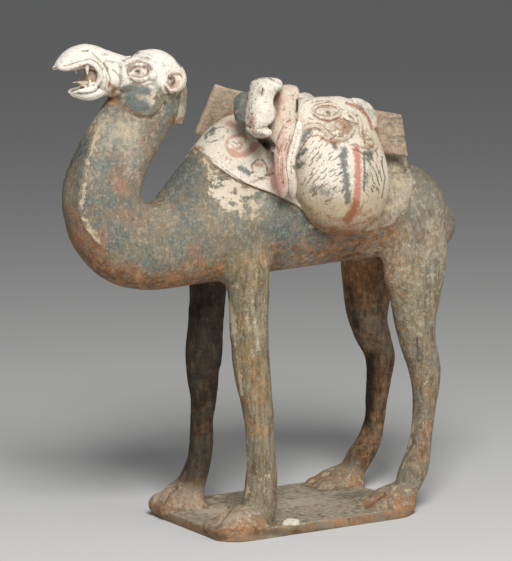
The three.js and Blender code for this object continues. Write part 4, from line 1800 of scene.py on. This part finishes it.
class Painter:
    """Lays the coats on the skin as numbers that the finish reads."""

    body_blur = 24
    load_blur = 1
    wrap = 12
    fine_hollow = (3, 3.0)
    broad_hollow = (14, 0.7)

    def __init__(self, skin: Skin, clay: Clay) -> None:
        """Finds which part each point belongs to.

        Args:
            skin: the finished skin.
            clay: the forms that it was made of.
        """
        self.skin = skin
        skin.look()
        clay.body.faces.ensure_lookup_table()
        tree = clay.skin()
        owner = [clay.body.faces[tree.find_nearest(Vector(p))[2]][clay.layer] for p in skin.points]
        self.owner = np.array(owner)
        self.coats = {coat: np.zeros(len(skin.points)) for coat in Coat}
        for coat in LINE_COATS:
            self.coats[coat] -= 1.0

    def paint(self) -> None:
        """Lays everything, and writes it to the mesh."""
        self.grounds()
        self.wears()
        self.washes()
        self.strokes()
        self.pits()
        self.finish()

    def grounds(self) -> None:
        """Lays each part's first coats, blended where parts of the body meet."""
        for part, ground in GROUNDS.items():
            for name, amount in vars(ground).items():
                self.coats[Coat(name)][self.owner == part] = amount
        soft = np.isin(self.owner, BODY)
        for coat in set(Coat) - set(LINE_COATS) - {Coat.PIT}:
            wide = self.skin.spread(self.coats[coat], self.body_blur)
            narrow = self.skin.spread(self.coats[coat], self.load_blur)
            self.coats[coat] = np.where(soft, wide, narrow)

    def wears(self) -> None:
        """Lays what depends on place and on the way that the clay faces."""
        place, up = self.skin.points.T, self.skin.normals[:, 2]
        for wear in WEARS:
            share = wear.share(place, up) * np.isin(self.owner, wear.parts)
            for coat, amount in wear.coats:
                self.coats[coat] += share * amount

    def washes(self) -> None:
        """Lays the soft clouds of colour, on both sides."""
        load = np.isin(self.owner, LOAD)
        for wash in WASHES:
            for side in (1, -1):
                u, v = self.skin.seen[side].T
                share = np.exp(-(((u - wash.u) / wash.across) ** 2 + ((v - wash.v) / wash.down) ** 2))
                share *= self.skin.points[:, 1] * side < self.wrap
                self.coats[wash.coat] += wash.strength * share * (~load if wash.coat in OFF_LOAD else 1)

    def strokes(self) -> None:
        """Draws the brush strokes."""
        for mark in (*STROKES, *HAIR):
            for side in (1, -1) if mark.both else (1,):
                found, far = self.skin.near_mark(mark, side)
                coat = self.coats[mark.coat]
                if mark.coat in LINE_COATS:
                    coat[found] = np.maximum(coat[found], np.clip(1 - far / mark.width, -1, 1))
                else:
                    coat[found] += mark.strength * np.exp(-((far / mark.width) ** 2))

    def pits(self) -> None:
        """Notes how hollow the clay is, where dirt has settled."""
        skin = self.skin
        total = np.zeros(len(skin.points))
        for times, share in (self.fine_hollow, self.broad_hollow):
            around = np.stack([skin.spread(skin.points[:, i], times) for i in range(3)], axis=1)
            total += np.einsum("ij,ij->i", around - skin.points, skin.normals) * share
        self.coats[Coat.PIT] = np.clip(total, -1, 1)

    def finish(self) -> None:
        """Writes the coats to the mesh."""
        for coat, values in self.coats.items():
            layer = self.skin.data.attributes.new(coat.value, "FLOAT", "POINT")
            layer.data.foreach_set("value", values.astype(np.float32))


def linear(code: str) -> tuple[float, float, float, float]:
    """Turns an sRGB hex value into a linear colour.

    Args:
        code: the value, with its hash sign.

    Returns:
        Red, green, blue and full opacity.
    """
    parts = [int(code.lstrip("#")[i:i + 2], 16) / 255 for i in (0, 2, 4)]
    return (*(p / 12.92 if p <= 0.04045 else ((p + 0.055) / 1.055) ** 2.4 for p in parts), 1.0)


def add(
    tree: bpy.types.NodeTree, kind: str, links: dict[str | int, object] | None = None, **settings: object
) -> bpy.types.Node:
    """Adds a node.

    Args:
        tree: where it goes.
        kind: its type.
        links: for each input, the output that feeds it or the value it is set to.
        settings: its properties.

    Returns:
        The node.
    """
    node = tree.nodes.new(kind)
    for name, value in settings.items():
        setattr(node, name, value)
    for name, value in (links or {}).items():
        if isinstance(value, bpy.types.NodeSocket):
            tree.links.new(value, node.inputs[name])
        else:
            node.inputs[name].default_value = value
    return node


@dataclass(frozen=True)
class Pattern:
    """Random pattern of the surface: size of its marks in millimetres, and how they vary."""

    size: float
    detail: float = 6.0
    rough: float = 0.65
    stretch: float = 1.0
    shift: float = 0.0


BROAD = Pattern(34, 7, 0.62)
CLOUD = Pattern(18, 9, 0.72, 1, 2.3)
STAIN = Pattern(17, 9, 0.7, 1, 12.8)
BLOTCH = Pattern(11, 9, 0.74, 1.3, 9.4)
FLAKES = Pattern(9, 8, 0.7)
FINE = Pattern(6, 9, 0.76, 1, 6.2)
RUNS = Pattern(5, 7, 0.7, 6, 1.7)
CHIPS = Pattern(2.6, 6, 0.7, 1, 3.1)
SCRAPE = Pattern(2.4, 5, 0.72, 3.2, 8.8)
GRAIN = Pattern(2.0, 4, 0.7, 0.6, 15.1)
GRIT = Pattern(1.3, 3, 0.6, 1, 5.0)


@dataclass(frozen=True)
class Layer:
    """A colour over those below it.

    It shows where the coat, plus the pattern's swing about its middle times amount, rises from
    low to high, and covers at most top. With a second colour, tone tells where that one shows.
    """

    colour: str
    pattern: Pattern
    low: float
    high: float
    top: float = 1.0
    coat: Coat | None = None
    amount: float = 1.0
    second: str = ""
    tone: Pattern | Coat = FLAKES


@dataclass(frozen=True)
class Earthenware:
    """Low-fired earthenware with a white slip and cold-painted colours, buried for centuries.

    It gives the eye a dry, chalky surface without gloss, where the cream slip has flaked from a
    grey-brown body and earth sits in the hollows. Sizes of the patterns are in millimetres.
    """

    name: str = "cold-painted low-fired earthenware"
    body: str = "#79715F"
    roughness: float = 0.93
    sheen: float = 0.2
    relief: tuple[tuple[Pattern, float], ...] = ((CHIPS, 1.4), (FLAKES, 0.5), (GRIT, 0.5))
    relief_height: float = 1.3
    relief_strength: float = 1.0
    evenness: float = 5.0
    tone_low: float = 0.38
    tone_high: float = 0.62
    layers: tuple[Layer, ...] = (
        # Grey-brown body with browner clouds, brushed olive, bare orange clay and slate paint.
        Layer("#8C826E", CLOUD, -0.12, 0.12),
        Layer("#4F4B40", STAIN, 0.0, 0.18, 0.6),
        Layer("#84695A", BROAD, -0.02, 0.14, 0.4),
        Layer("#85744D", STAIN, 0.2, 1.0, 0.75, Coat.OLIVE, 1.8),
        Layer("#BD8555", STAIN, 0.25, 1.0, 0.92, Coat.RUST, 2.2, "#6E472D", FLAKES),
        Layer("#7A837C", BLOTCH, 0.35, 0.9, 0.9, Coat.BLUE, 3.2, "#3C4646", FINE),
        Layer("#9A6E59", CLOUD, 0.25, 1.1, 0.6, Coat.ROSE, 2.4),
        # Dark and pale runs down the legs, dust, and a fine grain.
        Layer("#33261A", RUNS, 0.8, 1.5, 0.55, Coat.STREAK, 3.6),
        Layer("#B5A98C", RUNS, 0.8, 1.5, 0.4, Coat.STREAK, -3.6),
        Layer("#C6BAA4", FINE, 0.45, 1.15, 0.66, Coat.DUST, 3.2),
        Layer("#CFC3AE", SCRAPE, 0.04, 0.2, 0.36, Coat.EVEN),
        Layer("#2B2720", SCRAPE, 0.04, 0.2, 0.4, Coat.EVEN, -1.0),
        Layer("#3A3125", GRAIN, 0.08, 0.22, 0.16, None, -1.0),
        # Cream slip, whiter on the head and the load, with its pink wash.
        Layer("#C6B496", FLAKES, 0.5, 0.68, 0.92, Coat.SLIP, 3.2, "#F8F0E2", Coat.WHITE),
        Layer("#C2A67E", STAIN, 0.02, 0.22, 0.25),
        Layer("#93826A", CHIPS, 0.05, 0.18, 0.7),
        Layer("#C7BCAC", FINE, 0.04, 0.2, 0.3, None, -1.0),
        Layer("#A9806C", FLAKES, 0.5, 1.3, 0.75, Coat.ROSE, 2.0, "#CB8F80", Coat.WHITE),
        # Brush strokes.
        Layer("#B96A56", CHIPS, -0.05, 0.7, 0.8, Coat.PINK, 2.6),
        Layer("#4C5756", CHIPS, -0.05, 0.7, 0.8, Coat.INK, 2.4),
        Layer("#4A3626", CHIPS, -0.05, 0.7, 0.66, Coat.UMBER, 2.4),
        # Slate and brown washes over the slip, the brown partly painted shade.
        Layer("#5A6564", FLAKES, 0.25, 1.15, 0.85, Coat.HAZE, 2.6),
        Layer("#925F3A", CHIPS, 0.15, 1.15, 0.8, Coat.TAN, 1.6),
        # Earth in the hollows, specks, soot and painted shade.
        Layer("#6A4C31", CHIPS, 0.12, 0.8, 0.6, Coat.PIT, 0.6),
        Layer("#3A3125", GRIT, 0.08, 0.2, 0.35),
        Layer("#15110D", FLAKES, 0.1, 0.95, 0.9, Coat.SOOT, 0.5),
    )

    def build(self) -> bpy.types.Material:
        """Makes the material.

        Returns:
            The material, with its patterns and coats as nodes.
        """
        made = bpy.data.materials.new(self.name)
        made.use_nodes = True
        tree = made.node_tree
        tree.nodes.clear()
        signs: dict[Pattern | Coat, bpy.types.NodeSocket] = {}
        place = add(tree, "ShaderNodeTexCoord").outputs["Object"]
        for pattern in {layer.pattern: None for layer in self.layers}:
            shift = (pattern.shift, pattern.shift, pattern.shift)
            frame_of = {0: place, "Location": shift, "Scale": (1, 1, 1 / pattern.stretch)}
            spot = add(tree, "ShaderNodeMapping", frame_of).outputs[0]
            size = 1 / (pattern.size * METRES)
            made_of = {"Vector": spot, "Scale": size, "Detail": pattern.detail, "Roughness": pattern.rough}
            signs[pattern] = add(tree, "ShaderNodeTexNoise", made_of).outputs["Fac"]
        for coat in Coat:
            signs[coat] = add(tree, "ShaderNodeAttribute", attribute_name=coat.value).outputs["Fac"]
        paint: bpy.types.NodeSocket | tuple[float, ...] = linear(self.body)
        for layer in self.layers:
            paint = self.lay(tree, signs, layer, paint)
        height: bpy.types.NodeSocket | float = 0.0
        for pattern, share in self.relief:
            more = {0: signs[pattern], 1: share, 2: height}
            height = add(tree, "ShaderNodeMath", more, operation="MULTIPLY_ADD").outputs[0]
        firm = {0: signs[Coat.EVEN], 1: self.evenness, 2: self.relief_strength}
        strength = add(tree, "ShaderNodeMath", firm, operation="MULTIPLY_ADD").outputs[0]
        rise = {"Height": height, "Distance": self.relief_height * METRES, "Strength": strength}
        bump = add(tree, "ShaderNodeBump", rise)
        clay = {
            "Base Color": paint, "Normal": bump.outputs[0], "Roughness": self.roughness,
            "Specular IOR Level": self.sheen,
        }
        shader = add(tree, "ShaderNodeBsdfPrincipled", clay)
        add(tree, "ShaderNodeOutputMaterial", {"Surface": shader.outputs[0]})
        return made

    def lay(
        self,
        tree: bpy.types.NodeTree,
        signs: dict[Pattern | Coat, bpy.types.NodeSocket],
        layer: Layer,
        under: bpy.types.NodeSocket | tuple[float, ...],
    ) -> bpy.types.NodeSocket:
        """Lays one layer.

        Args:
            tree: the material's nodes.
            signs: output of each pattern and each coat.
            layer: what is laid.
            under: colour of the layers below.

        Returns:
            The colour with the layer on top.
        """
        start = signs[layer.coat] if layer.coat else 0.0
        swing = {0: signs[layer.pattern], 1: layer.amount, 2: start}
        rise = add(tree, "ShaderNodeMath", swing, operation="MULTIPLY_ADD")
        middle = layer.amount / 2
        share = add(
            tree, "ShaderNodeMapRange",
            {0: rise.outputs[0], 1: layer.low + middle, 2: layer.high + middle, 3: 0.0, 4: layer.top},
            interpolation_type="SMOOTHSTEP",
        )
        colour: bpy.types.NodeSocket | tuple[float, ...] = linear(layer.colour)
        if layer.second:
            low, high = (0.0, 1.0) if isinstance(layer.tone, Coat) else (self.tone_low, self.tone_high)
            tone = add(tree, "ShaderNodeMapRange", {0: signs[layer.tone], 1: low, 2: high, 3: 0.0, 4: 1.0})
            both = {0: tone.outputs[0], 6: colour, 7: linear(layer.second)}
            colour = add(tree, "ShaderNodeMix", both, data_type="RGBA").outputs[2]
        laid = {0: share.outputs[0], 6: under, 7: colour}
        return add(tree, "ShaderNodeMix", laid, data_type="RGBA").outputs[2]


@dataclass
class Figure:
    """The whole fired piece: camel, load and slab."""

    sight: Sight
    name: str = "painted_camel"
    # Low and high corners of the boxes that keep most of their faces: head, near side and top of the load.
    fine_boxes: tuple[tuple[Spot, Spot], ...] = (
        ((-math.inf, -math.inf, 398), (-118, math.inf, math.inf)),
        ((-112, -math.inf, 288), (140, -12, math.inf)),
        ((-math.inf, -math.inf, 400), (math.inf, 0, math.inf)),
    )
    hold: float = 0.05
    rub: float = 0.5
    rubs: int = 2
    trunk: Trunk = field(default_factory=Trunk)
    blanket: Blanket = field(default_factory=Blanket)
    neck: Neck = field(default_factory=Neck)
    head: Head = field(default_factory=Head)
    plinth: Plinth = field(default_factory=Plinth)
    load: Load = field(default_factory=Load)
    finish: Earthenware = field(default_factory=Earthenware)

    def press(self) -> Clay:
        """Presses all the forms together.

        Returns:
            The clay.
        """
        clay = Clay(self.sight)
        self.plinth.build(clay)
        self.trunk.build(clay)
        self.blanket.build(clay, self.trunk)
        for leg in LEGS:
            leg.build(clay)
        self.neck.build(clay)
        self.head.build(clay)
        self.load.build(clay)
        return clay

    def skin(self, clay: Clay) -> bpy.types.Mesh:
        """Lays one closed skin over the pressed forms.

        Args:
            clay: the forms.

        Returns:
            The skin's mesh, in millimetres.
        """
        made = to_object(clay.body.copy(), "skinned")
        remesh = made.modifiers.new("skin", "REMESH")
        remesh.mode = "VOXEL"
        remesh.voxel_size = VOXEL
        remesh.use_smooth_shade = True
        rub = made.modifiers.new("rub", "SMOOTH")
        rub.factor = self.rub
        rub.iterations = self.rubs
        return settle(made)

    def thin(self, skin: Skin) -> bpy.types.Mesh:
        """Thins the mesh, least on the head and the near side of the load.

        Args:
            skin: the full skin.

        Returns:
            The mesh with fewer faces.
        """
        boxes = [np.all((skin.points > low) & (skin.points < high), axis=1) for low, high in self.fine_boxes]
        fine = np.any(boxes, axis=0)
        made = bpy.data.objects.new("thinned", skin.data)
        bpy.context.scene.collection.objects.link(made)
        total = 2 * len(skin.points)
        plain_now = total * (1 - fine.mean())
        for name, where, weight, before, after in (
            ("plain", ~fine, 1.0, total, total - plain_now + PLAIN_TRIANGLES),
            ("fine", fine, self.hold, total - plain_now + PLAIN_TRIANGLES, MOST_TRIANGLES),
        ):
            group = made.vertex_groups.new(name=name)
            group.add(np.flatnonzero(where).tolist(), weight, "REPLACE")
            decimate = made.modifiers.new(name, "DECIMATE")
            decimate.vertex_group = name
            decimate.vertex_group_factor = self.hold
            decimate.ratio = min(1.0, after / before)
            decimate.use_collapse_triangulate = True
        return settle(made)

    def build(self) -> bpy.types.Object:
        """Returns:
            Its one piece.
        """
        clay = self.press()
        log.info("pressed %d faces", len(clay.body.faces))
        data = self.skin(clay)
        log.info("skinned, %d points", len(data.vertices))
        skin = Skin(data, clay)
        for join in JOINS:
            skin.blend(join, clay)
        skin.write()
        skin = Skin(data, clay)
        log.info("joins rubbed")
        skin.carve((*CUTS, *HAIR))
        skin.handle()
        skin.write()
        data = self.thin(skin)
        log.info("thinned to %d faces", len(data.polygons))
        skin = Skin(data, clay)
        Painter(skin, clay).paint()
        clay.body.free()
        data.transform(Matrix.Scale(METRES, 4))
        data.shade_smooth()
        data.name = self.name
        made = bpy.data.objects.new(self.name, data)
        bpy.context.scene.collection.objects.link(made)
        data.materials.append(self.finish.build())
        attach(made, "root")
        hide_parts("camel_figure")
        log.info("%s: %d faces", self.name, len(data.polygons))
        return made


@dataclass(frozen=True)
class Studio:
    """Camera at the photograph's viewpoint, a plain pale floor and soft light."""

    sight: Sight
    sensor: float = 36.0
    frame_height: float = 561.0
    far_end: float = 100.0
    floor_size: float = 70.0
    floor_colour: str = "#CFCECC"
    air_colour: str = "#E6E8EB"
    air_strength: float = 0.2
    # Name, place in metres, width in metres and power in watts of each lamp.
    lamps: tuple[tuple[str, Spot, float, float], ...] = (
        ("key", (-0.85, -1.65, 1.95), 1.0, 70.0), ("fill", (1.2, -1.9, 0.6), 1.4, 15.0),
    )

    def build(self) -> None:
        """Sets up the whole studio."""
        self.camera()
        self.floor()
        for lamp in self.lamps:
            self.light(*lamp)
        world = bpy.context.scene.world or bpy.data.worlds.new("studio")
        bpy.context.scene.world = world
        world.use_nodes = True
        world.node_tree.nodes["Background"].inputs["Color"].default_value = linear(self.air_colour)
        world.node_tree.nodes["Background"].inputs["Strength"].default_value = self.air_strength
        bpy.context.scene.view_settings.view_transform = "Standard"

    def camera(self) -> None:
        """Puts the camera where the photograph was taken, with its lens."""
        data = bpy.data.cameras.new("camera")
        data.sensor_width = self.sensor
        data.lens = self.sight.focal * self.sensor / self.frame_height
        data.clip_end = self.far_end
        made = bpy.data.objects.new("camera", data)
        right, up, back = self.sight.axes()
        turn = Matrix((right, up, back)).transposed().to_4x4()
        made.matrix_world = Matrix.Translation(Vector(self.sight.eye()) * METRES) @ turn
        bpy.context.scene.collection.objects.link(made)
        bpy.context.scene.camera = made

    def floor(self) -> None:
        """Plain floor under the slab."""
        form = bmesh.new()
        bmesh.ops.create_grid(form, x_segments=1, y_segments=1, size=self.floor_size / 2)
        made = to_object(form, "floor")
        paper = bpy.data.materials.new("matt studio paper")
        paper.use_nodes = True
        shader = paper.node_tree.nodes["Principled BSDF"]
        shader.inputs["Base Color"].default_value = linear(self.floor_colour)
        shader.inputs["Roughness"].default_value = 1.0
        made.data.materials.append(paper)

    def light(self, name: str, place: Spot, size: float, power: float) -> None:
        """Hangs a soft square lamp that looks at the figure.

        Args:
            name: its name.
            place: where it hangs, in metres.
            size: its width in metres.
            power: its power in watts.
        """
        data = bpy.data.lights.new(name, "AREA")
        data.size = size
        data.energy = power
        made = bpy.data.objects.new(name, data)
        aim = Vector(self.sight.target) * METRES - Vector(place)
        turn = aim.to_track_quat("-Z", "Y").to_matrix().to_4x4()
        made.matrix_world = Matrix.Translation(Vector(place)) @ turn
        bpy.context.scene.collection.objects.link(made)


def main() -> None:
    """Builds the figure and the studio, and notes the sizes."""
    logging.basicConfig(level=logging.INFO, format="%(name)s: %(message)s")
    sight = Sight()
    Figure(sight).build()
    Studio(sight).build()


if __name__ == "__main__":
    main()
